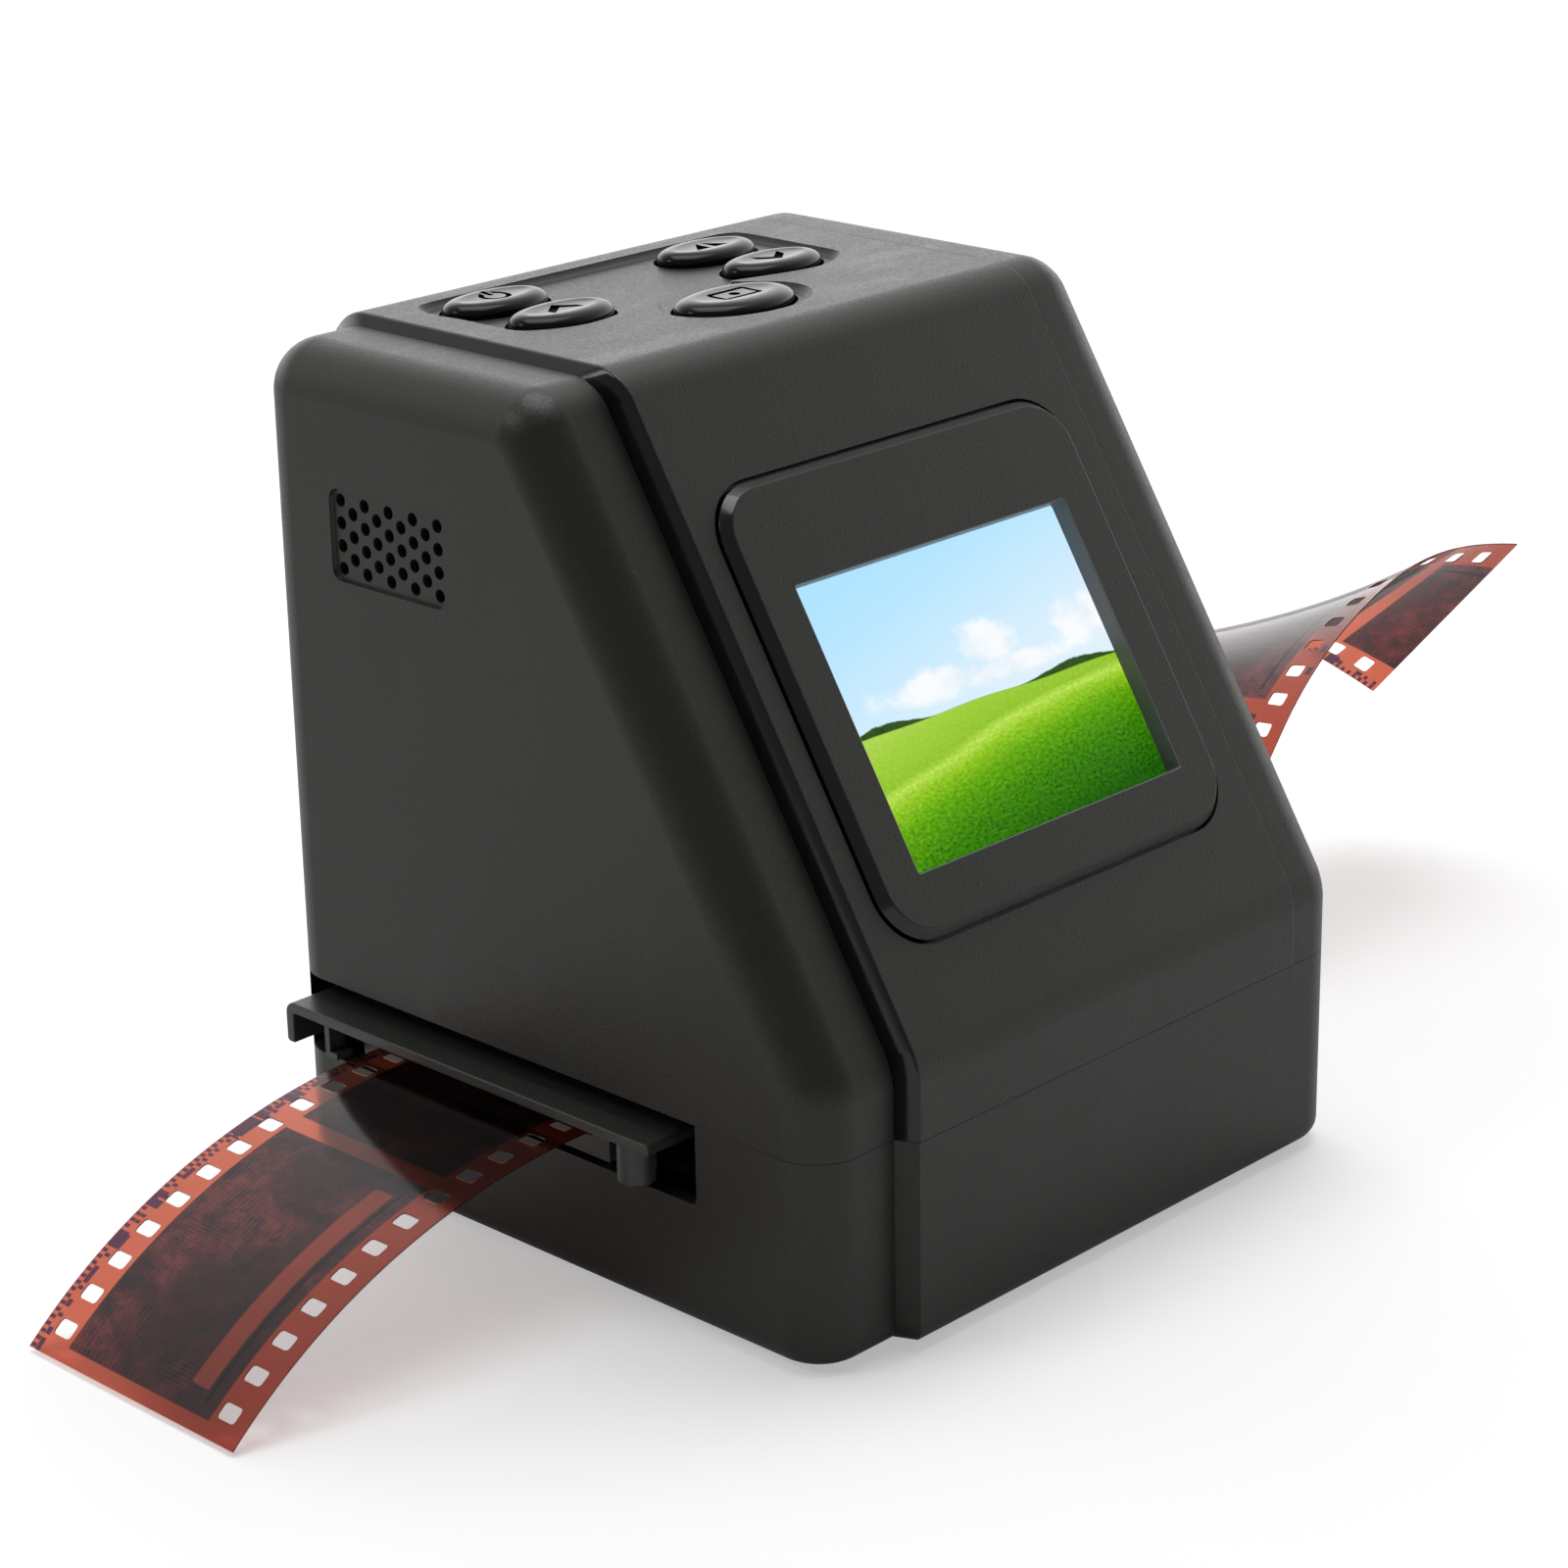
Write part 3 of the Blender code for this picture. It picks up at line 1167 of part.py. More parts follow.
def cover_rib_feet(half):
    for side in (-1, 1):
        x0, x1 = sorted((side * half, side * (half - END_RIB_LENGTH)))
        y0 = END_RIB_Y - END_RIB_THICKNESS / 2 - END_RIB_FOOT
        high = CARRIER_SKIRT_Z + END_RIB_THICKNESS
        yield box((x0, y0, CARRIER_SKIRT_Z), (x1, END_RIB_Y, high))


def hinge_rods(radius, start, end):
    """Rods on the hinge line at both hinges, from start to end beyond each hinge's inner side."""
    yield along_x(HINGE_Y, HINGE_Z, -HINGE_X - end, -HINGE_X - start, radius)
    yield along_x(HINGE_Y, HINGE_Z, HINGE_X + start, HINGE_X + end, radius)


def knuckles(place):
    """X range of a knuckle at both hinges: place 0 is the inner one, 1 the outer one."""
    near = HINGE_X + place * (KNUCKLE_LENGTH + GAP)
    far = near + KNUCKLE_LENGTH - GAP
    return (-far, -near), (near, far)


def turn_rate(shares, place, span):
    """How fast a tail turns at a place along it, from its turn in each span."""
    i = min(int(place / span), len(shares) - 2)
    part = place / span - i
    return (shares[i] * (1 - part) + shares[i + 1] * part) / span


def film_frames(side, straight, span, bends, twists, stations):
    """Centre and cross direction and normal of the strip at each station along one tail."""
    centre = Vector((side * RIGHT_X, FILM_CENTRE_Y, FILM_Z))
    along, across = Vector((side, 0, 0)), Vector((0, 1, 0))
    at = 0
    for station in stations:
        steps = max(1, math.ceil((station - at) / FILM_STEP))
        for k in range(steps):
            place = at + (station - at) * (k + 1 / 2) / steps - straight
            length = (station - at) / steps
            bend = turn_rate(bends, place, span) if place > 0 else 0
            twist = turn_rate(twists, place, span) if place > 0 else 0
            turn = (along * twist - across * bend) * length
            spin = Matrix.Rotation(turn.length, 3, turn) if turn.length else Matrix.Identity(3)
            ahead = spin @ along
            centre = centre + (along + ahead) * (length / 2)
            along, across = ahead, spin @ across
        at = station
        yield centre.copy(), across.copy(), side * along.cross(across)


def sprocket_places():
    """Where the holes lie along the strip, with the case's left and right walls at +-RIGHT_X."""
    first = LEFT_X - SPROCKET_LEFT_START
    last = RIGHT_X + SPROCKET_RIGHT_START
    count = round((last - first) / SPROCKET_PITCH)
    places = [first + (last - first) * i / count for i in range(1, count)]
    margin = SPROCKET_LENGTH / 2 + SPROCKET_END_MARGIN
    while first > LEFT_X - LEFT_TAIL + margin:
        places.append(first)
        first -= SPROCKET_PITCH
    while last < RIGHT_X + RIGHT_TAIL - margin:
        places.append(last)
        last += SPROCKET_PITCH
    return sorted(places)


def film_sections(stations):
    """Centre, cross direction and normal at each station from the left tip to the right one."""
    left = sorted(LEFT_X - s for s in stations if s < LEFT_X)
    none = [0] * len(LEFT_TAIL_BEND_SHARES)
    tail = film_frames(-1, 0, LEFT_TAIL_SPAN, LEFT_TAIL_BEND_SHARES, none, left)
    sections = list(tail)[::-1]
    for s in stations:
        if LEFT_X <= s <= RIGHT_X:
            sections.append((Vector((s, FILM_CENTRE_Y, FILM_Z)), Vector((0, 1, 0)), Vector((0, 0, 1))))
    right = [s - RIGHT_X for s in stations if s > RIGHT_X]
    shape = (RIGHT_TAIL_SPAN, RIGHT_TAIL_BEND_SHARES, RIGHT_TAIL_TWIST_SHARES)
    return sections + list(film_frames(1, RIGHT_TAIL_STRAIGHT, *shape, right))


def make_film(finish, carrier):
    """The strip as one thin solid, with a square hole in every cell that a sprocket hole takes."""
    stations = [LEFT_X - LEFT_TAIL, RIGHT_X + RIGHT_TAIL]
    for place in sprocket_places():
        stations += [place - SPROCKET_LENGTH / 2, place + SPROCKET_LENGTH / 2]
    stations.sort()
    half = FILM_WIDTH / 2
    edge = half - SPROCKET_MARGIN
    lines = [-half, -edge, SPROCKET_WIDTH - edge, edge - SPROCKET_WIDTH, edge, half]
    shape = bmesh.new()
    faces = []
    for lift in (-FILM_THICKNESS / 2, FILM_THICKNESS / 2):
        faces.append([
            [shape.verts.new(centre + across * line + normal * lift) for line in lines]
            for centre, across, normal in film_sections(stations)
        ])
    holes = (1, len(lines) - 3)
    cells = {
        (i, k)
        for i in range(len(stations) - 1)
        for k in range(len(lines) - 1)
        if not (i % 2 and k in holes)
    }
    for i, k in sorted(cells):
        corners = [(i, k), (i + 1, k), (i + 1, k + 1), (i, k + 1)]
        for side in faces:
            shape.faces.new([side[a][b] for a, b in corners])
        neighbours = [(i, k - 1), (i + 1, k), (i, k + 1), (i - 1, k)]
        for number, neighbour in enumerate(neighbours):
            if neighbour in cells:
                continue
            a, b = corners[number], corners[(number + 1) % 4]
            ends = [faces[0][a[0]][a[1]], faces[0][b[0]][b[1]]]
            shape.faces.new(ends + [faces[1][b[0]][b[1]], faces[1][a[0]][a[1]]])
    bmesh.ops.recalc_face_normals(shape, faces=shape.faces)
    return add("film_strip", shape, finish, carrier)


def main():
    clear_scene()
    plastic = material("case_plastic", (0.035, 0.036, 0.037), 0.55)
    gloss = material("gloss_black", (0.012, 0.012, 0.013), 0.15)
    dark = material("dark_plastic", (0.02, 0.02, 0.021), 0.5)
    clear = material("clear_pane", (0.05, 0.06, 0.065), 0.08)
    display = material("display", (0.35, 0.6, 0.75), 0.3)
    green = material("circuit_board", (0.02, 0.13, 0.05), 0.45)
    steel = material("steel", (0.55, 0.55, 0.56), 0.35, 1.0)
    white = material("white_plastic", (0.8, 0.8, 0.78), 0.5)
    opal = material("opal_diffuser", (0.85, 0.86, 0.84), 0.35)
    glow = material("lamp_yellow", (0.85, 0.75, 0.3), 0.3)
    glass = material("lens_glass", (0.1, 0.11, 0.14), 0.05)
    chip = material("chip_black", (0.03, 0.03, 0.035), 0.3)
    rubber = material("rubber", (0.025, 0.025, 0.025), 0.8)
    emulsion = material("film", (0.32, 0.09, 0.06), 0.25)
    root = body("scanner")
    make_lower_case(plastic, root)
    make_left_shell(plastic, root)
    make_band(plastic, root)
    make_right_shell(plastic, root)
    make_screen(plastic, clear, display, green, steel, root)
    carriers = {}
    for name, x, y, half_length, half_width in buttons():
        carriers[name] = body(name, root, (x, y, HEIGHT))
        make_button(name, x, y, half_length, half_width, gloss, carriers[name])
    make_switches(dark, chip, root, carriers)
    make_button_board(green, steel, root)
    make_speaker(chip, root)
    make_lamp(green, white, opal, glow, dark, root)
    make_camera(dark, steel, glass, chip, green, root)
    make_sockets(green, steel, root)
    make_feet_and_screws(rubber, steel, root)
    film_place = (0, FILM_CENTRE_Y, FILM_Z)
    carrier = body("carrier", root, film_place)
    make_carrier(dark, steel, carrier)
    film = make_film(emulsion, body("film", carrier))
    ends = [corner.co.x for corner in film.data.vertices]
    root.location = (-(min(ends) + max(ends)) / 2, -(FRONT_Y + REAR_Y) / 2, 0)


main()
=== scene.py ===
"""Film negative scanner: detailed mouldings, screen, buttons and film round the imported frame."""

import logging
import math
from collections.abc import Iterable, Sequence
from dataclasses import dataclass, field
from enum import Enum

import bmesh
import bpy
from mathutils import Matrix, Vector


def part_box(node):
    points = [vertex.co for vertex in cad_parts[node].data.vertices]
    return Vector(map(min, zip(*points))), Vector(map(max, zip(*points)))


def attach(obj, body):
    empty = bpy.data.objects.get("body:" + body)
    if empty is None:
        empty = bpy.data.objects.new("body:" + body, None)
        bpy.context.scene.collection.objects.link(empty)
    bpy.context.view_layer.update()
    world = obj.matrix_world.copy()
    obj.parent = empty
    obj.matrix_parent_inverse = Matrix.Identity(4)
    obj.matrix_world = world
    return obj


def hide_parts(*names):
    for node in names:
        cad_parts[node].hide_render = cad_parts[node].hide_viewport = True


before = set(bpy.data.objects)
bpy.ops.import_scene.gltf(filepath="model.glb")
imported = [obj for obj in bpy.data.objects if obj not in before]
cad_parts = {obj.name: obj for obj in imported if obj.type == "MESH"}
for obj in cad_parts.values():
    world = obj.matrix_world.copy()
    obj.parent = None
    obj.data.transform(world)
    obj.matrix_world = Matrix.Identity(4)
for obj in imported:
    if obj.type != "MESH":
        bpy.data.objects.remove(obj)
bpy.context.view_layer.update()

LOG = logging.getLogger("scanner")
IN_PLACE = Matrix.Identity(4)
ALONG_X = Matrix.Rotation(math.pi / 2, 4, "Y")
WELD = 1e-6
SMOOTH_ANGLE = math.radians(32)
CASE_BODY = "case"
CARRIER_BODY = "film_carrier"
FILM_BODY = "film"

Shape = bmesh.types.BMesh
Face = bmesh.types.BMFace
Edge = bmesh.types.BMEdge
Vert = bmesh.types.BMVert
Object = bpy.types.Object
Node = bpy.types.Node
Socket = bpy.types.NodeSocket
Value = Socket | float | Sequence[float]
Colour = tuple[float, float, float]
Point = tuple[float, float]
Swell = tuple[float, float, float]
Patch = tuple[float, float, float, float]


# Mesh work -----------------------------------------------------------------------------


def every(shape: Shape) -> list[Vert | Edge | Face]:
    """All corners, edges and faces of a shape."""
    return [*shape.verts, *shape.edges, *shape.faces]


def face_out(shape: Shape) -> None:
    """Turns every face outwards."""
    bmesh.ops.recalc_face_normals(shape, faces=shape.faces)


def outward(shape: Shape) -> Shape:
    """Merges what coincides and turns every face outwards.

    Args:
        shape: The shape to put right.

    Returns:
        The same shape.
    """
    bmesh.ops.remove_doubles(shape, verts=shape.verts, dist=WELD)
    face_out(shape)
    return shape


def outline(shape: Shape, corners: Sequence[Vector], reaches: Sequence[float], steps: int) -> Face:
    """Adds a flat face whose corners are rounded.

    Args:
        shape: The shape that the face joins.
        corners: Its corners, in order.
        reaches: How much of each side every rounding takes up.
        steps: Segments of one rounding.

    Returns:
        The face.
    """
    known = set(shape.faces)
    verts = [shape.verts.new(corner) for corner in corners]
    shape.faces.new(verts)
    for vert, reach in zip(verts, reaches):
        if reach:
            bmesh.ops.bevel(
                shape,
                geom=[vert],
                offset=reach,
                offset_type="OFFSET",
                segments=steps,
                profile=0.5,
                affect="VERTICES",
                material=-1,
                clamp_overlap=False,
            )
    return (set(shape.faces) - known).pop()


def pull(shape: Shape, face: Face, way: Vector) -> Face:
    """Extrudes one face.

    Args:
        shape: The shape that holds it.
        face: The face to draw out.
        way: How far and in which direction.

    Returns:
        The moved face.
    """
    made = bmesh.ops.extrude_face_region(shape, geom=[face, *face.edges, *face.verts])["geom"]
    verts = [item for item in made if isinstance(item, Vert)]
    bmesh.ops.translate(shape, verts=verts, vec=way)
    return next(item for item in made if isinstance(item, Face))


def step_in(shape: Shape, face: Face, steps: Iterable[tuple[float, float]]) -> Face:
    """Insets one face again and again, each time moving it along its normal.

    Args:
        shape: The shape that holds it.
        face: The face to work on.
        steps: How far in and how far out it goes at each step.

    Returns:
        The face that is left in the middle.
    """
    for thickness, depth in steps:
        bmesh.ops.inset_region(
            shape,
            faces=[face],
            thickness=thickness,
            depth=depth,
            use_even_offset=True,
            use_boundary=True,
        )
    return face


def quarter_steps(radius: float, count: int, share: float = 0.95) -> list[tuple[float, float]]:
    """Inset steps that round an edge over.

    Args:
        radius: Radius of the rounding.
        count: Number of steps.
        share: How much of the radius is drawn in at the end.

    Returns:
        How far in and how far out each step goes.
    """
    last = math.acos(1 - share)
    places = []
    for number in range(count + 1):
        turn = last * number / count
        places.append((radius * (1 - math.cos(turn)), radius * math.sin(turn)))
    return [(b[0] - a[0], b[1] - a[1]) for a, b in zip(places, places[1:])]


def prism(
    corners: Sequence[Point],
    reaches: Sequence[float],
    low: float,
    high: float,
    place: Matrix = IN_PLACE,
    steps: int = 8,
) -> Shape:
    """A flat outline with rounded corners, made solid.

    Args:
        corners: Its corners, in order.
        reaches: How much of each side every rounding takes up.
        low: Height of its lower face.
        high: Height of its upper face.
        place: Where its own frame lies.
        steps: Segments of one rounding.

    Returns:
        A closed shape.
    """
    shape = bmesh.new()
    face = outline(shape, [Vector((x, y, low)) for x, y in corners], reaches, steps)
    pull(shape, face, Vector((0, 0, high - low)))
    shape.transform(place)
    return outward(shape)


def oblong(x0: float, x1: float, y0: float, y1: float) -> list[Point]:
    """The corners of an oblong."""
    return [(x0, y0), (x1, y0), (x1, y1), (x0, y1)]


def block(low: Vector, high: Vector, place: Matrix = IN_PLACE) -> Shape:
    """A box between two corners, to cut with.

    Args:
        low: Its lowest corner.
        high: Its highest corner.
        place: Where its own frame lies.

    Returns:
        A closed shape.
    """
    shape = bmesh.new()
    bmesh.ops.create_cube(shape, size=1)
    size = Matrix.Diagonal((*(high - low), 1))
    shape.transform(place @ Matrix.Translation((low + high) / 2) @ size)
    return shape


def lathe(profile: Sequence[Point], steps: int, place: Matrix = IN_PLACE) -> Shape:
    """Spins a profile round its Z axis.

    Args:
        profile: Radius and height of each point, starting and ending on the axis.
        steps: Segments of the full turn.
        place: Where its own frame lies.

    Returns:
        A closed shape.
    """
    shape = bmesh.new()
    verts = [shape.verts.new((radius, 0, z)) for radius, z in profile]
    edges = [shape.edges.new(pair) for pair in zip(verts, verts[1:])]
    bmesh.ops.spin(
        shape,
        geom=[*verts, *edges],
        axis=(0, 0, 1),
        cent=(0, 0, 0),
        angle=2 * math.pi,
        steps=steps,
        use_merge=True,
    )
    shape.transform(place)
    return outward(shape)


def tower(middle: Point, sections: Sequence[tuple[float, float, float]], steps: int) -> Shape:
    """Draws an ellipse up through sections of other sizes.

    Args:
        middle: Where its axis stands.
        sections: Half length, half width and height of each section.
        steps: Corners of the ellipse.

    Returns:
        A closed shape whose top is a shallow fan.
    """
    shape = bmesh.new()
    a, b, z = sections[0]
    bmesh.ops.create_circle(shape, cap_ends=True, segments=steps, radius=1)
    bmesh.ops.scale(shape, vec=(a, b, 1), verts=shape.verts)
    bmesh.ops.translate(shape, vec=(0, 0, z), verts=shape.verts)
    face = shape.faces[:][0]
    for next_a, next_b, next_z in sections[1:]:
        face = pull(shape, face, Vector((0, 0, next_z - z)))
        bmesh.ops.scale(shape, vec=(next_a / a, next_b / b, 1), verts=face.verts)
        a, b, z = next_a, next_b, next_z
    face_out(shape)
    bmesh.ops.poke(shape, faces=[face], offset=0)
    bmesh.ops.translate(shape, vec=(*middle, 0), verts=shape.verts)
    return shape


def keep_side(shape: Shape, point: Vector, away: Vector, soft: float) -> Shape:
    """Cuts a closed shape at a plane, closes it and softens the new edge.

    Args:
        shape: The shape to cut.
        point: A point of the plane.
        away: The direction of what is cut off.
        soft: Width of the bevel along the new edge, or 0.

    Returns:
        The same shape.
    """
    found = bmesh.ops.bisect_plane(
        shape, geom=every(shape), plane_co=point, plane_no=away, clear_outer=True, dist=WELD
    )
    rim = [item for item in found["geom_cut"] if isinstance(item, Edge)]
    bmesh.ops.holes_fill(shape, edges=rim)
    face_out(shape)
    if soft:
        soften(shape, rim, soft)
    return shape


def soften(shape: Shape, edges: Iterable[Edge], width: float, steps: int = 2) -> None:
    """Bevels edges.

    Args:
        shape: The shape that holds them.
        edges: The edges.
        width: Width of the bevel on each side.
        steps: Its segments.
    """
    bmesh.ops.bevel(
        shape,
        geom=list(edges),
        offset=width,
        offset_type="OFFSET",
        segments=steps,
        profile=0.5,
        affect="EDGES",
        material=-1,
        clamp_overlap=True,
    )


def sharp_edges(shape: Shape, least: float = 40) -> list[Edge]:
    """The edges at which two faces meet at more than an angle.

    Args:
        shape: The shape to search.
        least: The angle, in degrees.

    Returns:
        The edges found.
    """
    limit = math.radians(least)
    return [edge for edge in shape.edges if edge.is_manifold and edge.calc_face_angle() > limit]


def merged(shapes: Iterable[Shape]) -> Shape:
    """Several shapes in one, each left as it is.

    Args:
        shapes: The shapes, which are used up.

    Returns:
        The new shape.
    """
    whole = bmesh.new()
    for shape in shapes:
        mesh = bpy.data.meshes.new("part")
        shape.to_mesh(mesh)
        shape.free()
        whole.from_mesh(mesh)
        bpy.data.meshes.remove(mesh)
    return whole


def bare_object(name: str, shape: Shape) -> Object:
    """An object that holds a shape.

    Args:
        name: Its name.
        shape: The shape, which is used up.

    Returns:
        The object, linked to the scene.
    """
    mesh = bpy.data.meshes.new(name)
    shape.to_mesh(mesh)
    shape.free()
    thing = bpy.data.objects.new(name, mesh)
    bpy.context.scene.collection.objects.link(thing)
    return thing


def evaluated_mesh(thing: Object) -> bpy.types.Mesh:
    """The mesh that an object's modifiers make."""
    graph = bpy.context.evaluated_depsgraph_get()
    return bpy.data.meshes.new_from_object(thing.evaluated_get(graph))


def carve(shape: Shape, *tools: Shape, operation: str = "DIFFERENCE") -> Shape:
    """Cuts shapes from another, or joins them to it.

    Args:
        shape: The shape to work on, which is used up.
        tools: The shapes to cut or join, which are used up.
        operation: The Boolean to use.

    Returns:
        The result.
    """
    thing = bare_object("carved", shape)
    helpers = [bare_object("tool", tool) for tool in tools]
    for helper in helpers:
        step = thing.modifiers.new("step", "BOOLEAN")
        step.operation = operation
        step.solver = "EXACT"
        step.object = helper
    mesh = evaluated_mesh(thing)
    result = bmesh.new()
    result.from_mesh(mesh)
    bpy.data.meshes.remove(mesh)
    for item in (thing, *helpers):
        bpy.data.objects.remove(item)
    return result


# Shader work ---------------------------------------------------------------------------


class Tree:
    """Places and joins the nodes of one material or group."""

    def __init__(self, tree: bpy.types.NodeTree, shader: Node | None = None) -> None:
        """Keeps the node tree and, for a material, its shader."""
        self.tree = tree
        self.shader = shader

    def node(self, kind: str, **settings: object) -> Node:
        """Adds a node.

        Args:
            kind: Its type, without the part that all shader nodes share.
            settings: Its own settings.

        Returns:
            The node.
        """
        made = self.tree.nodes.new(f"ShaderNode{kind}")
        for name, value in settings.items():
            setattr(made, name, value)
        return made

    def put(self, socket: Socket, value: Value) -> None:
        """Links a value to an input, or sets it there.

        Args:
            socket: The input.
            value: Another node's output, or a plain value.
        """
        if isinstance(value, Socket):
            self.tree.links.new(value, socket)
        else:
            socket.default_value = value

    def dress(self, name: str, value: Value) -> None:
        """Links a value to one of the shader's inputs, or sets it there."""
        self.put(self.shader.inputs[name], value)

    def math(self, operation: str, *values: Value) -> Socket:
        """One Math node.

        Args:
            operation: What it does.
            values: Its inputs.

        Returns:
            Its output.
        """
        made = self.node("Math", operation=operation)
        for socket, value in zip(made.inputs, values):
            self.put(socket, value)
        return made.outputs[0]

    def blend(self, share: Value, first: Value, second: Value) -> Socket:
        """Mixes two colours.

        Args:
            share: How much of the second colour shows.
            first: The first colour.
            second: The second colour.

        Returns:
            The mixed colour.
        """
        made = self.node("Mix", data_type="RGBA")
        self.put(made.inputs["Factor"], share)
        self.put(made.inputs[6], (*first, 1) if isinstance(first, tuple) else first)
        self.put(made.inputs[7], (*second, 1) if isinstance(second, tuple) else second)
        return made.outputs[2]

    def ramp(
        self, value: Value, low: float, high: float, start: float = 0, end: float = 1
    ) -> Socket:
        """Stretches part of a value's range over another range, and stops there.

        Args:
            value: The value.
            low: Where the range starts.
            high: Where it ends.
            start: What the start becomes.
            end: What the end becomes.

        Returns:
            The new value.
        """
        made = self.node("MapRange", interpolation_type="SMOOTHSTEP")
        for number, item in enumerate((value, low, high, start, end)):
            self.put(made.inputs[number], item)
        return made.outputs[0]

    def shades(self, value: Value, stops: Sequence[tuple[float, Colour]]) -> Socket:
        """Colours along a value.

        Args:
            value: The value.
            stops: Places from 0 to 1 and the colours there.

        Returns:
            The colour.
        """
        made = self.node("ValToRGB")
        self.put(made.inputs[0], value)
        marks = made.color_ramp.elements
        while len(marks) < len(stops):
            marks.new(0.5)
        for mark, (position, colour) in zip(marks, stops):
            mark.position = position
            mark.color = (*colour, 1)
        return made.outputs[0]

    def place(self, scale: Sequence[float] = (1, 1, 1)) -> Socket:
        """Object coordinates, scaled.

        Args:
            scale: The scale along each axis.

        Returns:
            The coordinates.
        """
        made = self.node("Mapping")
        self.put(made.inputs["Vector"], self.node("TexCoord").outputs["Object"])
        made.inputs["Scale"].default_value = scale
        return made.outputs[0]

    def noise(self, where: Value, scale: float, detail: float = 2, rough: float = 0.5) -> Socket:
        """A noise texture.

        Args:
            where: The coordinates.
            scale: Its scale.
            detail: Its octaves.
            rough: How strong its fine octaves are.

        Returns:
            Its value.
        """
        made = self.node("TexNoise")
        self.put(made.inputs["Vector"], where)
        made.inputs["Scale"].default_value = scale
        made.inputs["Detail"].default_value = detail
        made.inputs["Roughness"].default_value = rough
        return made.outputs["Fac"]

    def bump(self, height: Value, strength: float, distance: float) -> Socket:
        """A bumped normal.

        Args:
            height: The height that it follows.
            strength: How much of it shows.
            distance: The real height of a full step, in metres.

        Returns:
            The normal.
        """
        made = self.node("Bump")
        made.inputs["Strength"].default_value = strength
        made.inputs["Distance"].default_value = distance
        self.put(made.inputs["Height"], height)
        return made.outputs[0]

    def group(self, tree: bpy.types.NodeTree, **values: Value) -> Node:
        """Places a node group.

        Args:
            tree: The group.
            values: Its inputs, by name.

        Returns:
            The group's node.
        """
        made = self.tree.nodes.new("ShaderNodeGroup")
        made.node_tree = tree
        for name, value in values.items():
            self.put(made.inputs[name], value)
        return made


def new_group(
    name: str, inputs: dict[str, float], outputs: Sequence[str]
) -> tuple[Tree, Node, Node]:
    """An empty shader group of values.

    Args:
        name: Its name.
        inputs: Its inputs and their plain values.
        outputs: Its outputs.

    Returns:
        The tree, its input node and its output node.
    """
    tree = bpy.data.node_groups.new(name, "ShaderNodeTree")
    for label, value in inputs.items():
        socket = tree.interface.new_socket(label, in_out="INPUT", socket_type="NodeSocketFloat")
        socket.default_value = value
    for label in outputs:
        tree.interface.new_socket(label, in_out="OUTPUT", socket_type="NodeSocketFloat")
    return Tree(tree), tree.nodes.new("NodeGroupInput"), tree.nodes.new("NodeGroupOutput")


def make_grain_group() -> bpy.types.NodeTree:
    """Fine moulded grain: a pebbled height, and a slow drift of shade.

    Returns:
        The group.
    """
    tree, given, out = new_group("moulded_grain", {"Scale": 3000.0}, ("Height", "Drift"))
    where = tree.node("TexCoord").outputs["Object"]
    cells = tree.node("TexVoronoi", feature="SMOOTH_F1")
    tree.put(cells.inputs["Vector"], where)
    tree.put(cells.inputs["Scale"], given.outputs["Scale"])
    cells.inputs["Smoothness"].default_value = 0.8
    fine = tree.node("TexNoise")
    tree.put(fine.inputs["Vector"], where)
    tree.put(fine.inputs["Scale"], tree.math("MULTIPLY", given.outputs["Scale"], 1.7))
    height = tree.math(
        "ADD", cells.outputs["Distance"], tree.math("MULTIPLY", fine.outputs["Fac"], 0.5)
    )
    tree.put(out.inputs["Height"], height)
    tree.put(out.inputs["Drift"], tree.noise(where, 35.0, 4.0))
    return tree.tree


def make_handling_group() -> bpy.types.NodeTree:
    """Faint wipe marks and specks of dust that handling leaves.

    Returns:
        The group.
    """
    tree, given, out = new_group("handling", {"Amount": 0.5}, ("Smudge", "Dust"))
    wide = tree.noise(tree.place((60, 190, 90)), 1.0, 5.0, 0.6)
    smudge = tree.ramp(wide, 0.48, 0.72)
    tree.put(out.inputs["Smudge"], tree.math("MULTIPLY", smudge, given.outputs["Amount"]))
    cells = tree.node("TexVoronoi")
    tree.put(cells.inputs["Vector"], tree.place())
    cells.inputs["Scale"].default_value = 420.0
    speck = tree.ramp(cells.outputs["Distance"], 0.035, 0.02)
    tree.put(out.inputs["Dust"], tree.math("MULTIPLY", speck, given.outputs["Amount"]))
    return tree.tree


class Effects:
    """The shader groups that several finishes share."""

    grain: bpy.types.NodeTree
    handling: bpy.types.NodeTree

    @classmethod
    def make(cls) -> None:
        """Builds both groups."""
        cls.grain = make_grain_group()
        cls.handling = make_handling_group()


@dataclass(frozen=True)
class Finish:
    """A finish whose plain values sit on its shader."""

    name: str
    colour: Colour
    roughness: float = 0.5
    metallic: float = 0.0
    specular: float = 0.5

    def material(self) -> bpy.types.Material:
        """The finish as a material, built at its first use.

        Returns:
            The material.
        """
        found = bpy.data.materials.get(self.name)
        if found:
            return found
        made = bpy.data.materials.new(self.name)
        made.use_nodes = True
        shader = made.node_tree.nodes["Principled BSDF"]
        shader.inputs["Base Color"].default_value = (*self.colour, 1)
        shader.inputs["Roughness"].default_value = self.roughness
        shader.inputs["Metallic"].default_value = self.metallic
        shader.inputs["Specular IOR Level"].default_value = self.specular
        self.detail(Tree(made.node_tree, shader))
        return made

    def detail(self, tree: Tree) -> None:
        """Adds what varies over the surface. Each finish has its own.

        Args:
            tree: The material's tree.
        """


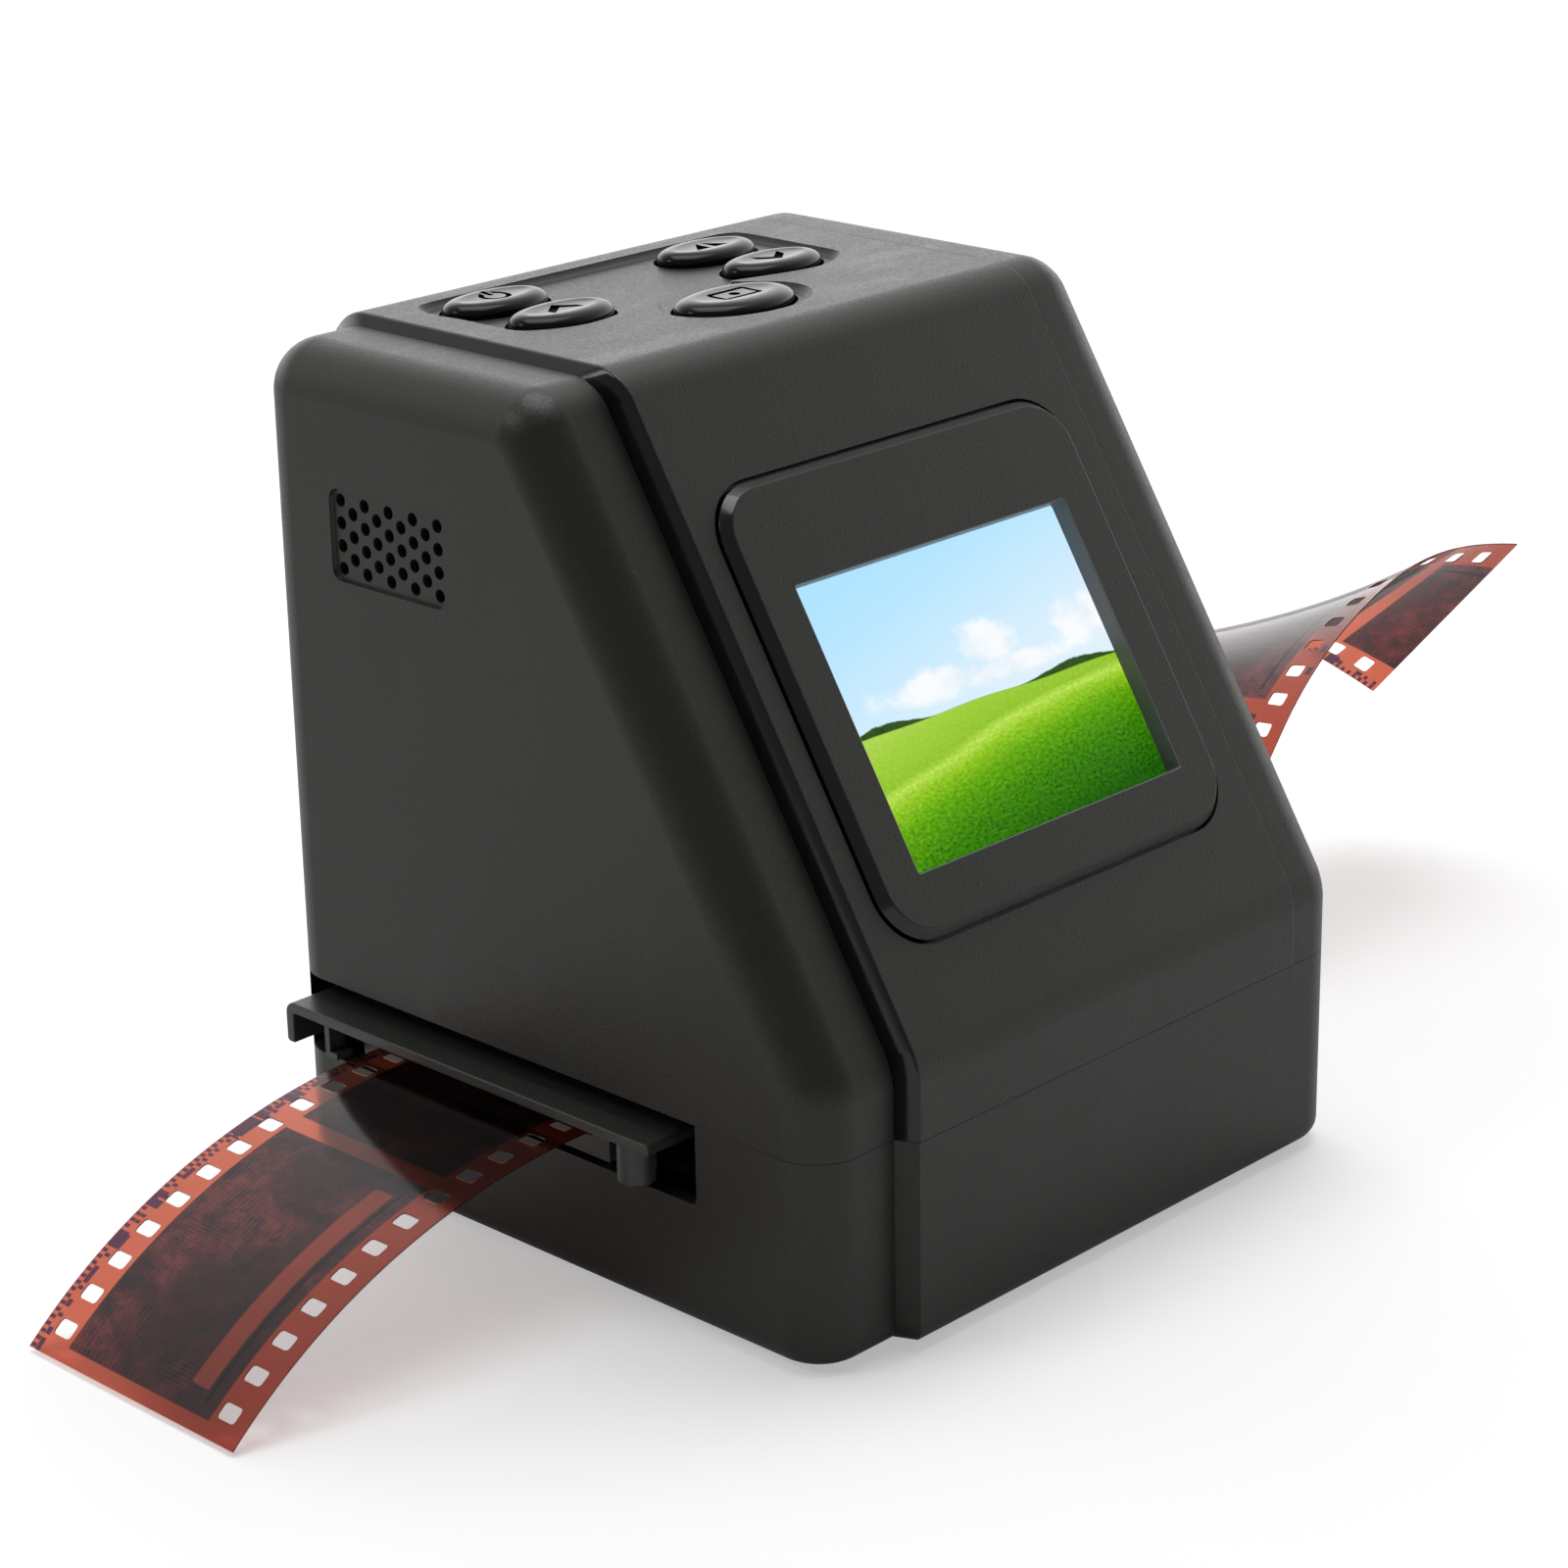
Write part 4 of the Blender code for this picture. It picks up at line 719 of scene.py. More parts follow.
@dataclass(frozen=True)
class MouldedPlastic(Finish):
    """Moulded plastic with a fine grain and faint signs of handling."""

    grain: float = 3200.0
    depth: float = 0.00003
    strength: float = 0.35
    worn: float = 0.4
    drift: float = 1.25
    dust: Colour = (0.22, 0.215, 0.2)
    wiped: float = -0.12

    def detail(self, tree: Tree) -> None:
        """Grain, a slow drift of shade, wipe marks and dust.

        Args:
            tree: The material's tree.
        """
        grain = tree.group(Effects.grain, Scale=self.grain)
        marks = tree.group(Effects.handling, Amount=self.worn)
        lighter = tuple(part * self.drift + 0.002 for part in self.colour)
        drifted = tree.blend(grain.outputs["Drift"], self.colour, lighter)
        dusty = tree.blend(marks.outputs["Dust"], drifted, self.dust)
        tree.dress("Base Color", dusty)
        wiped = tree.math("MULTIPLY", marks.outputs["Smudge"], self.wiped)
        peaks = tree.ramp(grain.outputs["Height"], 0.2, 1.1, -0.05, 0.07)
        rough = tree.math("ADD", tree.math("ADD", wiped, peaks), self.roughness)
        tree.dress("Roughness", rough)
        tree.dress("Normal", tree.bump(grain.outputs["Height"], self.strength, self.depth))


@dataclass(frozen=True)
class GlossPlastic(Finish):
    """Polished plastic that shows wipe marks and a trace of flow."""

    worn: float = 0.35
    dust: Colour = (0.2, 0.2, 0.19)
    wiped: float = 0.2
    wave_scale: float = 240.0
    wave_height: float = 0.00004

    def detail(self, tree: Tree) -> None:
        """Wipe marks, dust and a very slight waviness.

        Args:
            tree: The material's tree.
        """
        marks = tree.group(Effects.handling, Amount=self.worn)
        tree.dress("Base Color", tree.blend(marks.outputs["Dust"], self.colour, self.dust))
        rough = tree.math("MULTIPLY_ADD", marks.outputs["Smudge"], self.wiped, self.roughness)
        tree.dress("Roughness", rough)
        wave = tree.noise(tree.place(), self.wave_scale, 2.0)
        tree.dress("Normal", tree.bump(wave, 0.12, self.wave_height))


@dataclass(frozen=True)
class ClearPane(Finish):
    """Clear plastic or glass with faint wipe marks. A coating lowers its index."""

    index: float = 1.49
    worn: float = 0.3
    wiped: float = 0.04

    def detail(self, tree: Tree) -> None:
        """Lets light through and varies the gloss a little.

        Args:
            tree: The material's tree.
        """
        tree.dress("Transmission Weight", 1.0)
        tree.dress("IOR", self.index)
        marks = tree.group(Effects.handling, Amount=self.worn)
        tree.dress("Roughness", tree.math("MULTIPLY", marks.outputs["Smudge"], self.wiped))


@dataclass(frozen=True)
class Landscape(Finish):
    """A lit display that shows a made-up view: sky, clouds, a row of far trees and a meadow."""

    horizon: float = 0.457
    swells: tuple[Swell, ...] = ((0.008, 0.55, 0.6), (0.003, 2.3, 1.0))
    sky_slant: float = 0.32
    sky_low: Colour = (0.76, 0.89, 0.98)
    sky_high: Colour = (0.44, 0.78, 1.0)
    clouds: tuple[Patch, ...] = (
        (0.575, 0.63, 0.20, 0.15),
        (0.36, 0.555, 0.40, 0.10),
        (0.94, 0.615, 0.20, 0.18),
        (0.62, 0.535, 0.45, 0.07),
    )
    cloud_shade: Colour = (0.80, 0.88, 0.96)
    cloud_light: Colour = (0.97, 0.985, 1.0)
    woods: tuple[Patch, Patch] = ((0.13, 0.0, 0.2, 1.0), (0.84, 0.0, 0.24, 1.0))
    wood_shade: Colour = (0.012, 0.045, 0.006)
    wood_light: Colour = (0.05, 0.12, 0.02)
    grass: tuple[tuple[float, Colour], ...] = (
        (0.0, (0.012, 0.105, 0.002)),
        (0.24, (0.042, 0.215, 0.002)),
        (0.44, (0.120, 0.385, 0.004)),
        (0.56, (0.290, 0.580, 0.018)),
        (0.615, (0.480, 0.740, 0.085)),
        (0.66, (0.290, 0.560, 0.030)),
        (0.78, (0.350, 0.620, 0.045)),
        (1.0, (0.500, 0.720, 0.120)),
    )
    grass_low: float = -0.425
    grass_reach: float = 0.7
    blade_scale: Point = (72.0, 84.0)
    blade_strength: float = 4.4
    line_edge: float = 0.003

    def wave(self, tree: Tree, u: Value, base: float, bends: Sequence[Swell]) -> Socket:
        """A hill line.

        Args:
            tree: The material's tree.
            u: Place across the picture.
            base: The line's plain height.
            bends: Height, waves across the picture and start of each swell.

        Returns:
            The height of the line.
        """
        line: Value = base
        for height, waves, start in bends:
            turn = tree.math("MULTIPLY_ADD", u, waves * 2 * math.pi, start)
            line = tree.math("MULTIPLY_ADD", tree.math("SINE", turn), height, line)
        return line

    def puff(self, tree: Tree, u: Value, v: Value, blob: Patch) -> Socket:
        """A soft round patch.

        Args:
            tree: The material's tree.
            u: Place across the picture.
            v: Place up it.
            blob: Its middle and its reach, each across and up.

        Returns:
            1 in its middle and 0 at its edge.
        """
        away_u = tree.math("DIVIDE", tree.math("SUBTRACT", u, blob[0]), blob[2])
        away_v = tree.math("DIVIDE", tree.math("SUBTRACT", v, blob[1]), blob[3])
        square = tree.math("MULTIPLY_ADD", away_u, away_u, tree.math("MULTIPLY", away_v, away_v))
        return tree.ramp(tree.math("SQRT", square), 1.0, 0.0)

    def texture(
        self, tree: Tree, where: Value, scale: Sequence[float], detail: float, rough: float
    ) -> Socket:
        """Noise over the picture.

        Args:
            tree: The material's tree.
            where: The picture's coordinates.
            scale: Its scale across and up.
            detail: Its octaves.
            rough: How strong its fine octaves are.

        Returns:
            Its value.
        """
        made = tree.node("Mapping")
        tree.put(made.inputs["Vector"], where)
        made.inputs["Scale"].default_value = (*scale, 1)
        made.inputs["Location"].default_value = (4.7, 2.3, 0)
        return tree.noise(made.outputs[0], 1.0, detail, rough)

    def sky(self, tree: Tree, where: Value, u: Value, v: Value) -> Socket:
        """A clear sky with heaped clouds over the horizon.

        Args:
            tree: The material's tree.
            where: The picture's coordinates.
            u: Place across it.
            v: Place up it.

        Returns:
            The colour.
        """
        height = tree.math("SUBTRACT", v, tree.math("MULTIPLY", u, self.sky_slant))
        blue = tree.blend(tree.ramp(height, 0.12, 0.95), self.sky_low, self.sky_high)
        heap = self.puff(tree, u, v, self.clouds[0])
        for blob in self.clouds[1:]:
            heap = tree.math("MAXIMUM", heap, self.puff(tree, u, v, blob))
        billow = self.texture(tree, where, (8.0, 7.5), 7.0, 0.62)
        dense = tree.math("MULTIPLY_ADD", heap, 0.62, billow)
        cloud = tree.blend(tree.ramp(billow, 0.35, 0.62), self.cloud_shade, self.cloud_light)
        return tree.blend(tree.ramp(dense, 0.64, 1.02, 0.0, 0.92), blue, cloud)

    def meadow(self, tree: Tree, where: Value, u: Value, v: Value) -> Socket:
        """A meadow whose long crest catches the light.

        Args:
            tree: The material's tree.
            where: The picture's coordinates.
            u: Place across it.
            v: Place up it.

        Returns:
            The colour.
        """
        bend = tree.math("MULTIPLY_ADD", tree.math("MULTIPLY", u, -0.12), u, 0.255)
        crest = tree.math("MULTIPLY_ADD", u, 0.29, bend)
        above = tree.math("SUBTRACT", v, crest)
        shadow = tree.math("MULTIPLY", tree.ramp(above, 0.0, -0.2), tree.math("MULTIPLY", u, -0.07))
        sway = self.texture(tree, where, (3.0, 9.0), 3.0, 0.5)
        level = tree.math("ADD", above, tree.math("MULTIPLY_ADD", sway, 0.05, shadow))
        place = tree.math("SUBTRACT", level, self.grass_low)
        grass = tree.shades(tree.math("DIVIDE", place, self.grass_reach), self.grass)
        blades = self.texture(tree, where, self.blade_scale, 4.0, 0.8)
        near = tree.ramp(above, 0.08, -0.3, 0.12, 1.0)
        contrast = tree.math("MULTIPLY", near, self.blade_strength)
        light = tree.math("MULTIPLY_ADD", tree.math("SUBTRACT", blades, 0.5), contrast, 1.0)
        lit = tree.node("VectorMath", operation="SCALE")
        tree.put(lit.inputs[0], grass)
        tree.put(lit.inputs["Scale"], light)
        return lit.outputs[0]

    def detail(self, tree: Tree) -> None:
        """Paints the picture from the panel's own UV map.

        Args:
            tree: The material's tree.
        """
        where = tree.node("UVMap", uv_map="picture").outputs["UV"]
        split = tree.node("SeparateXYZ")
        tree.put(split.inputs[0], where)
        u, v = split.outputs[0], split.outputs[1]
        horizon = self.wave(tree, u, self.horizon, self.swells)
        leaves = self.texture(tree, where, (30.0, 30.0), 3.0, 0.6)
        bumps = tree.math("MAXIMUM", *(self.puff(tree, u, 0.0, blob) for blob in self.woods))
        trees = tree.math("MULTIPLY", bumps, tree.math("MULTIPLY_ADD", leaves, 0.02, 0.019))
        above = tree.math("SUBTRACT", tree.math("ADD", horizon, trees), v)
        crown = tree.ramp(above, -self.line_edge, self.line_edge)
        wood = tree.blend(leaves, self.wood_shade, self.wood_light)
        view = tree.blend(crown, self.sky(tree, where, u, v), wood)
        ground = tree.ramp(tree.math("SUBTRACT", horizon, v), -self.line_edge, self.line_edge)
        tree.dress("Emission Color", tree.blend(ground, view, self.meadow(tree, where, u, v)))
        tree.dress("Emission Strength", 1.0)


@dataclass(frozen=True)
class FilmStock(Finish):
    """Developed colour negative: orange base, dark frames and edge marks, seen through."""

    pitch: float = 0.038
    gap: float = 0.0022
    first: float = -0.0615
    picture: float = 0.0243
    rear_base: tuple[Colour, Colour] = ((0.64, 0.150, 0.085), (0.56, 0.115, 0.062))
    front_base: tuple[Colour, Colour] = ((0.42, 0.070, 0.036), (0.35, 0.052, 0.026))
    dense: Colour = (0.022, 0.016, 0.018)
    rosy: Colour = (0.165, 0.038, 0.038)
    streak: Colour = (0.19, 0.048, 0.055)
    mottle: tuple[float, float, float] = (300.0, 240.0, 1.0)
    hatches: tuple[tuple[str, float, float, float], ...] = (
        ("X", 640.0, 0.36, 0.54), ("Y", 420.0, 0.56, 0.42)
    )
    hatch_strength: float = 0.42
    bar: Colour = (0.33, 0.065, 0.04)
    bar_across: Point = (-0.0081, 0.0017)
    line: Colour = (0.012, 0.008, 0.012)
    line_across: Point = (-0.0102, 0.00022)
    mark: Colour = (0.035, 0.016, 0.055)
    tick_length: float = 0.00092
    ticks_across: Point = (0.01705, 0.00042)
    data_across: Point = (0.0162, 0.00040)
    blots_across: Point = (0.0164, 0.0011)
    strays_across: Point = (-0.0166, 0.0005)
    index: float = 1.48

    def detail(self, tree: Tree) -> None:
        """Draws frames and edge marks from the strip's own UV map, in metres.

        Args:
            tree: The material's tree.
        """
        where = tree.node("UVMap", uv_map="strip").outputs["UV"]
        split = tree.node("SeparateXYZ")
        tree.put(split.inputs[0], where)
        along, across = split.outputs[0], split.outputs[1]
        place = tree.math("DIVIDE", tree.math("SUBTRACT", along, self.first), self.pitch)
        share = tree.math("FRACT", place)
        edge = tree.math("ABSOLUTE", tree.math("SUBTRACT", share, 0.5))
        limit = 0.5 - self.gap / self.pitch / 2
        inside = tree.ramp(edge, limit, limit - 0.006)
        side = tree.math("ABSOLUTE", across)
        half = self.picture / 2
        inside = tree.math("MULTIPLY", inside, tree.ramp(side, half, half - 0.0002))
        fleck = tree.noise(where, 90.0, 3.0)
        rear, front = tree.blend(fleck, *self.rear_base), tree.blend(fleck, *self.front_base)
        base = tree.blend(tree.ramp(across, 0.006, -0.010), rear, front)
        pictures = tree.node("Mapping")
        tree.put(pictures.inputs["Vector"], where)
        pictures.inputs["Scale"].default_value = self.mottle
        murk = tree.noise(pictures.outputs[0], 1.0, 10.0, 0.82)
        dark = tree.blend(tree.ramp(murk, 0.38, 0.64), self.dense, self.rosy)
        for way, scale, low, high in self.hatches:
            lines = tree.node("TexWave", wave_type="BANDS", bands_direction=way)
            tree.put(lines.inputs["Vector"], where)
            lines.inputs["Scale"].default_value = scale
            lines.inputs["Distortion"].default_value = 0.7
            lines.inputs["Detail Scale"].default_value = 90.0
            patches = tree.noise(where, 85.0, 2.0)
            shown = tree.ramp(patches, low, high, self.hatch_strength, 0.0)
            streaks = tree.math("MULTIPLY", tree.ramp(lines.outputs["Fac"], 0.55, 0.95), shown)
            dark = tree.blend(streaks, dark, self.streak)
        shade = tree.ramp(tree.noise(where, 62.0, 3.0), 0.44, 0.58, 0.7, 0.0)
        dark = tree.blend(shade, dark, self.dense)
        bar = self.strip(tree, across, *self.bar_across, 0.62)
        bar = tree.ramp(tree.math("MULTIPLY", tree.ramp(edge, 0.402, 0.378), bar), 0.15, 0.6)
        bar = tree.math("MULTIPLY", bar, tree.math("LESS_THAN", along, self.first))
        dark = tree.blend(tree.math("MULTIPLY", bar, 0.85), dark, self.bar)
        line = self.strip(tree, across, *self.line_across)
        line = tree.math("MULTIPLY", line, tree.ramp(edge, 0.44, 0.42))
        colour = tree.blend(inside, base, tree.blend(line, dark, self.line))
        marked = tree.blend(self.marks(tree, along, across), colour, self.mark)
        tree.dress("Base Color", marked)
        tree.dress("Transmission Weight", 0.97)
        tree.dress("IOR", self.index)
        tree.dress("Roughness", tree.ramp(murk, 0.2, 0.8, self.roughness, self.roughness + 0.08))

    def strip(
        self, tree: Tree, value: Value, middle: float, half: float, full: float = 0.85
    ) -> Socket:
        """1 near a middle value and 0 beyond it.

        Args:
            tree: The material's tree.
            value: The value.
            middle: Its middle.
            half: Half the width.
            full: Share of the half at which the mask is full.

        Returns:
            The mask.
        """
        away = tree.math("ABSOLUTE", tree.math("SUBTRACT", value, middle))
        return tree.ramp(away, half, half * full)

    def marks(self, tree: Tree, along: Value, across: Value) -> Socket:
        """Ticks and bars along both edges.

        Args:
            tree: The material's tree.
            along: Place along the strip.
            across: Place across it.

        Returns:
            Their mask.
        """
        turns = tree.math("FRACT", tree.math("DIVIDE", along, self.tick_length))
        clock = tree.math("GREATER_THAN", turns, 0.5)
        outer = tree.math("MULTIPLY", clock, self.strip(tree, across, *self.ticks_across))
        data = tree.math("GREATER_THAN", self.dice(tree, along, 0.00046), 0.52)
        inner = tree.math("MULTIPLY", data, self.strip(tree, across, *self.data_across))
        figures = tree.math("GREATER_THAN", self.dice(tree, along, 0.0021), 0.80)
        broken = tree.math("GREATER_THAN", self.dice(tree, along, 0.0003), 0.25)
        blots = tree.math("MULTIPLY", figures, broken)
        blots = tree.math("MULTIPLY", blots, self.strip(tree, across, *self.blots_across))
        stray = tree.math("GREATER_THAN", self.dice(tree, along, 0.0013), 0.94)
        front = tree.math("MULTIPLY", stray, self.strip(tree, across, *self.strays_across))
        marks = tree.math("MAXIMUM", outer, inner)
        for more in (blots, front):
            marks = tree.math("MAXIMUM", marks, more)
        return tree.math("MULTIPLY", marks, 0.9)

    def dice(self, tree: Tree, along: Value, size: float) -> Socket:
        """A random number for each cell along the strip.

        Args:
            tree: The material's tree.
            along: Place along the strip.
            size: Length of a cell.

        Returns:
            The number.
        """
        made = tree.node("TexWhiteNoise", noise_dimensions="1D")
        tree.put(made.inputs["W"], tree.math("FLOOR", tree.math("DIVIDE", along, size)))
        return made.outputs["Value"]


@dataclass(frozen=True)
class BoardFinish(Finish):
    """Circuit board: solder mask over copper runs, with bare pads."""

    pad: Colour = (0.62, 0.48, 0.2)
    runs: tuple[tuple[str, float], ...] = (
        ("Scale", 260.0), ("Mortar Size", 0.05), ("Brick Width", 1.3), ("Row Height", 0.4)
    )
    pad_scale: float = 330.0
    relief: float = 0.00004

    def detail(self, tree: Tree) -> None:
        """Raised runs under the green mask, and bare pads.

        Args:
            tree: The material's tree.
        """
        where = tree.place()
        bricks = tree.node("TexBrick")
        tree.put(bricks.inputs["Vector"], where)
        for label, value in self.runs:
            bricks.inputs[label].default_value = value
        runs = bricks.outputs["Fac"]
        cells = tree.node("TexVoronoi")
        tree.put(cells.inputs["Vector"], where)
        cells.inputs["Scale"].default_value = self.pad_scale
        pads = tree.ramp(cells.outputs["Distance"], 0.17, 0.13)
        lighter = tuple(min(1.0, part * 2.1) for part in self.colour)
        mask = tree.blend(runs, self.colour, lighter)
        tree.dress("Base Color", tree.blend(pads, mask, self.pad))
        tree.dress("Metallic", pads)
        tree.dress("Roughness", tree.ramp(pads, 0.0, 1.0, self.roughness, 0.22))
        tree.dress("Normal", tree.bump(tree.math("ADD", runs, pads), 0.5, self.relief))


@dataclass(frozen=True)
class Metal(Finish):
    """Drawn or plated metal with fine lines along one axis."""

    lines: tuple[float, float, float] = (300.0, 6000.0, 6000.0)

    def detail(self, tree: Tree) -> None:
        """Fine lines in roughness and height, and a slight drift of colour.

        Args:
            tree: The material's tree.
        """
        fine = tree.noise(tree.place(self.lines), 1.0, 3.0, 0.7)
        worn = tree.noise(tree.place(), 160.0, 3.0)
        darker = tuple(part * 0.78 for part in self.colour)
        tree.dress("Base Color", tree.blend(worn, darker, self.colour))
        tree.dress(
            "Roughness", tree.ramp(fine, 0.3, 0.7, self.roughness - 0.07, self.roughness + 0.1)
        )
        tree.dress("Normal", tree.bump(fine, 0.2, 0.00002))


@dataclass(frozen=True)
class LampDot(Finish):
    """Lamp body under clouded yellow phosphor."""

    pale: Colour = (0.9, 0.78, 0.35)

    def detail(self, tree: Tree) -> None:
        """Clouds the phosphor a little.

        Args:
            tree: The material's tree.
        """
        cloud = tree.noise(tree.place(), 900.0, 3.0)
        tree.dress("Base Color", tree.blend(cloud, self.colour, self.pale))
        tree.dress("Normal", tree.bump(cloud, 0.3, 0.00003))


class Finishes:
    """Every finish of the scanner."""

    case = MouldedPlastic(
        "case_charcoal", (0.0118, 0.0125, 0.0082), 0.38, grain=2800.0, depth=0.00004, strength=0.4
    )
    inner = MouldedPlastic("inner_black", (0.022, 0.022, 0.021), 0.5, grain=2200.0)
    carrier = MouldedPlastic(
        "carrier_black", (0.046, 0.050, 0.044), 0.36, grain=4200.0, strength=0.25
    )
    gloss = GlossPlastic("button_gloss", (0.0055, 0.0055, 0.006), 0.17, specular=0.2)
    sign = MouldedPlastic("sign_dark", (0.002, 0.002, 0.002), 0.8, specular=0.1, worn=0.0)
    # Pale finish for the bevel beside the band: a painted highlight along the seam.
    edge = MouldedPlastic("seam_painted_highlight", (0.13, 0.13, 0.12), 0.4, worn=0.0)
    # Pale grey for the window's inner wall, far lighter than the bezel round it: painted light.
    wall = MouldedPlastic("window_wall_painted_light", (0.15, 0.155, 0.16), 0.42, grain=4200.0, worn=0.1)
    # Gloss of the step's wall; on the bezel it goes on the left-facing side only, as painted shade
    # there.
    step = GlossPlastic("step_gloss", (0.0055, 0.0058, 0.0055), 0.14)
    pane = ClearPane("pane_clear", (1.0, 1.0, 1.0), 0.0, index=1.06)
    display = Landscape("display_lit", (0.002, 0.002, 0.003), 0.5, specular=0.0)
    film = FilmStock("film_negative", (0.5, 0.1, 0.05), 0.07)
    board = BoardFinish("board_green", (0.006, 0.07, 0.028), 0.35)
    steel = Metal("screw_steel", (0.56, 0.56, 0.57), 0.3, metallic=1.0)
    shell = Metal("socket_tin", (0.66, 0.66, 0.67), 0.24, metallic=1.0)
    anodised = Metal("barrel_black", (0.022, 0.022, 0.024), 0.34, metallic=1.0)
    white = MouldedPlastic("lamp_box_white", (0.78, 0.78, 0.76), 0.5, grain=2600.0, worn=0.2)
    opal = MouldedPlastic("diffuser_opal", (0.86, 0.87, 0.88), 0.35, grain=5200.0, worn=0.1)
    lamp = LampDot("led_phosphor", (0.86, 0.66, 0.16), 0.3)
    lens = ClearPane("lens_coated", (0.86, 0.80, 0.96), 0.0)
    chip = GlossPlastic("sensor_black", (0.012, 0.012, 0.018), 0.12)
    rubber = MouldedPlastic("foot_rubber", (0.012, 0.012, 0.012), 0.8, grain=1500.0, strength=0.5)


# Placing pieces ------------------------------------------------------------------------


@dataclass(frozen=True)
class Role:
    """What a finished piece is to the frame."""

    body: str
    slot: str
    nodes: tuple[str, ...]


def on_case(slot: str, node: str) -> Role:
    """The role of a piece that stays with the case."""
    return Role(CASE_BODY, slot, (node,))


def smooth_normals(thing: Object) -> None:
    """Shades a piece smooth, with flat faces leading at its small bevels.

    Args:
        thing: The piece.
    """
    thing.data.shade_smooth()
    thing.data.set_sharp_from_angle(angle=SMOOTH_ANGLE)
    step = thing.modifiers.new("weighted", "WEIGHTED_NORMAL")
    step.keep_sharp = True
    step.weight = 80
    mesh = evaluated_mesh(thing)
    thing.modifiers.clear()
    old, thing.data = thing.data, mesh
    bpy.data.meshes.remove(old)
    mesh.name = thing.name


def present(name: str, shape: Shape, finishes: Finish | Sequence[Finish], role: Role) -> Object:
    """Turns a shape in case coordinates into a finished piece.

    Args:
        name: The piece's name.
        shape: The shape, which is used up.
        finishes: Its finish, or one for each material number of its faces.
        role: What it rides on and stands for.

    Returns:
        The piece.
    """
    shape.transform(Matrix.Translation(FORM.origin))
    thing = bare_object(name, shape)
    for finish in [finishes] if isinstance(finishes, Finish) else finishes:
        thing.data.materials.append(finish.material())
    smooth_normals(thing)
    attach(thing, role.body)
    if role.nodes:
        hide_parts(*role.nodes)
    LOG.info("%s: %d faces, on %s", name, len(thing.data.polygons), role.body)
    return thing


# The case ------------------------------------------------------------------------------


@dataclass
class CaseForm:
    """The case's form, which its mouldings share, in its own coordinates."""

    height: float = 0.1025
    left: float = -0.044
    right: float = 0.044
    rear: float = 0.0475
    front: float = -0.0425
    top_front: float = -0.0001
    knee: float = 0.0337
    parting: float = 0.0251
    floor: float = 0.0006
    wall: float = 0.002
    gap: float = 0.0003
    joint: float = 0.00002
    end_rounding: float = 0.006
    base_rounding: float = 0.0025
    corner: float = 0.006
    knee_radius: float = 0.008
    band_left: float = -0.03115
    band_right: float = 0.03415
    step_run: float = 0.0012
    step_drops: tuple[float, float, float, float] = (0.0012, 0.0012, 0.0026, 0.0026)
    flange: float = 0.0024
    corner_steps: int = 12
    end_steps: int = 12
    origin: Vector = field(default_factory=Vector)

    def __post_init__(self) -> None:
        """Finds where the case's own origin stands in the frame."""
        low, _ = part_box("left_side_shell")
        _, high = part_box("centre_band")
        self.origin = Vector((low.x - self.left, high.y - self.rear, high.z - self.height))

    @property
    def slope(self) -> float:
        """How far the screen face leans back from upright."""
        return math.atan((self.top_front - self.front) / (self.height - self.knee))

    @property
    def slope_frame(self) -> Matrix:
        """The frame of the screen face: X across, Y up the slope, Z off its surface.

        Returns:
            The frame in case coordinates.
        """
        sine, cosine = math.sin(self.slope), math.cos(self.slope)
        rows = (
            (1, 0, 0, 0),
            (0, sine, -cosine, self.top_front),
            (0, cosine, sine, self.height),
            (0, 0, 0, 1),
        )
        return Matrix(rows)

    @property
    def foot_x(self) -> float:
        """Where the step between the left side and the band has its foot."""
        return self.band_left - self.step_run

    def section(
        self, shape: Shape, x: float, drops: Sequence[float], thinner: float, base: float
    ) -> Face:
        """Adds the case's outline from the side.

        Args:
            shape: The shape that it joins.
            x: Where it stands.
            drops: How far back, top, slope and front are drawn in.
            thinner: How much further all are drawn in.
            base: Height of its lower edge.

        Returns:
            The face.
        """
        rear, top, slope, front = (drop + thinner for drop in drops)
        run = math.tan(self.slope)
        z_top = self.height - top
        y_front = self.front + front
        y = self.top_front + slope * math.cos(self.slope)
        z = self.height - slope * math.sin(self.slope)
        corners = [
            (self.rear - rear, base),
            (self.rear - rear, z_top),
            (y + (z_top - z) * run, z_top),
            (y_front, z + (y_front - y) / run),
            (y_front, base),
        ]
        corner = self.corner - thinner
        turns = (math.pi / 2, math.pi / 2 - self.slope, self.slope)
        radii = (corner, corner, self.knee_radius - thinner)
        reaches = [0, *(radius * math.tan(turn / 2) for radius, turn in zip(radii, turns)), 0]
        return outline(shape, [Vector((x, y, z)) for y, z in corners], reaches, self.corner_steps)

    def end(self, shape: Shape, face: Face, x: float, thinner: float) -> None:
        """Draws a section out to one side of the case and rounds its edge over.

        Args:
            shape: The shape that holds it.
            face: The section.
            x: Where the side lies.
            thinner: How much less than the outside it is rounded.
        """
        radius = self.end_rounding - thinner
        start = face.calc_center_median().x
        stop = x - math.copysign(radius, x)
        face = pull(shape, face, Vector((stop - start, 0, 0)))
        face_out(shape)
        step_in(shape, face, quarter_steps(radius, self.end_steps))

    def hull(self, thinner: float, base: float) -> Shape:
        """The whole case as one solid, or with thinner its hollow.

        Args:
            thinner: How far inside the surface it lies.
            base: Height of its lower face.

        Returns:
            A closed shape.
        """
        shape = bmesh.new()
        foot = self.foot_x + (self.flange if thinner else 0)
        crest = foot + (self.gap if thinner else self.step_run)
        near = self.section(shape, foot, self.step_drops, thinner, base)
        far = self.section(shape, crest, (0, 0, 0, 0), thinner, base)
        bmesh.ops.bridge_loops(shape, edges=[*near.edges, *far.edges])
        face_out(shape)
        self.end(shape, near, self.left + thinner, thinner)
        self.end(shape, far, self.right - thinner, thinner)
        return outward(shape)

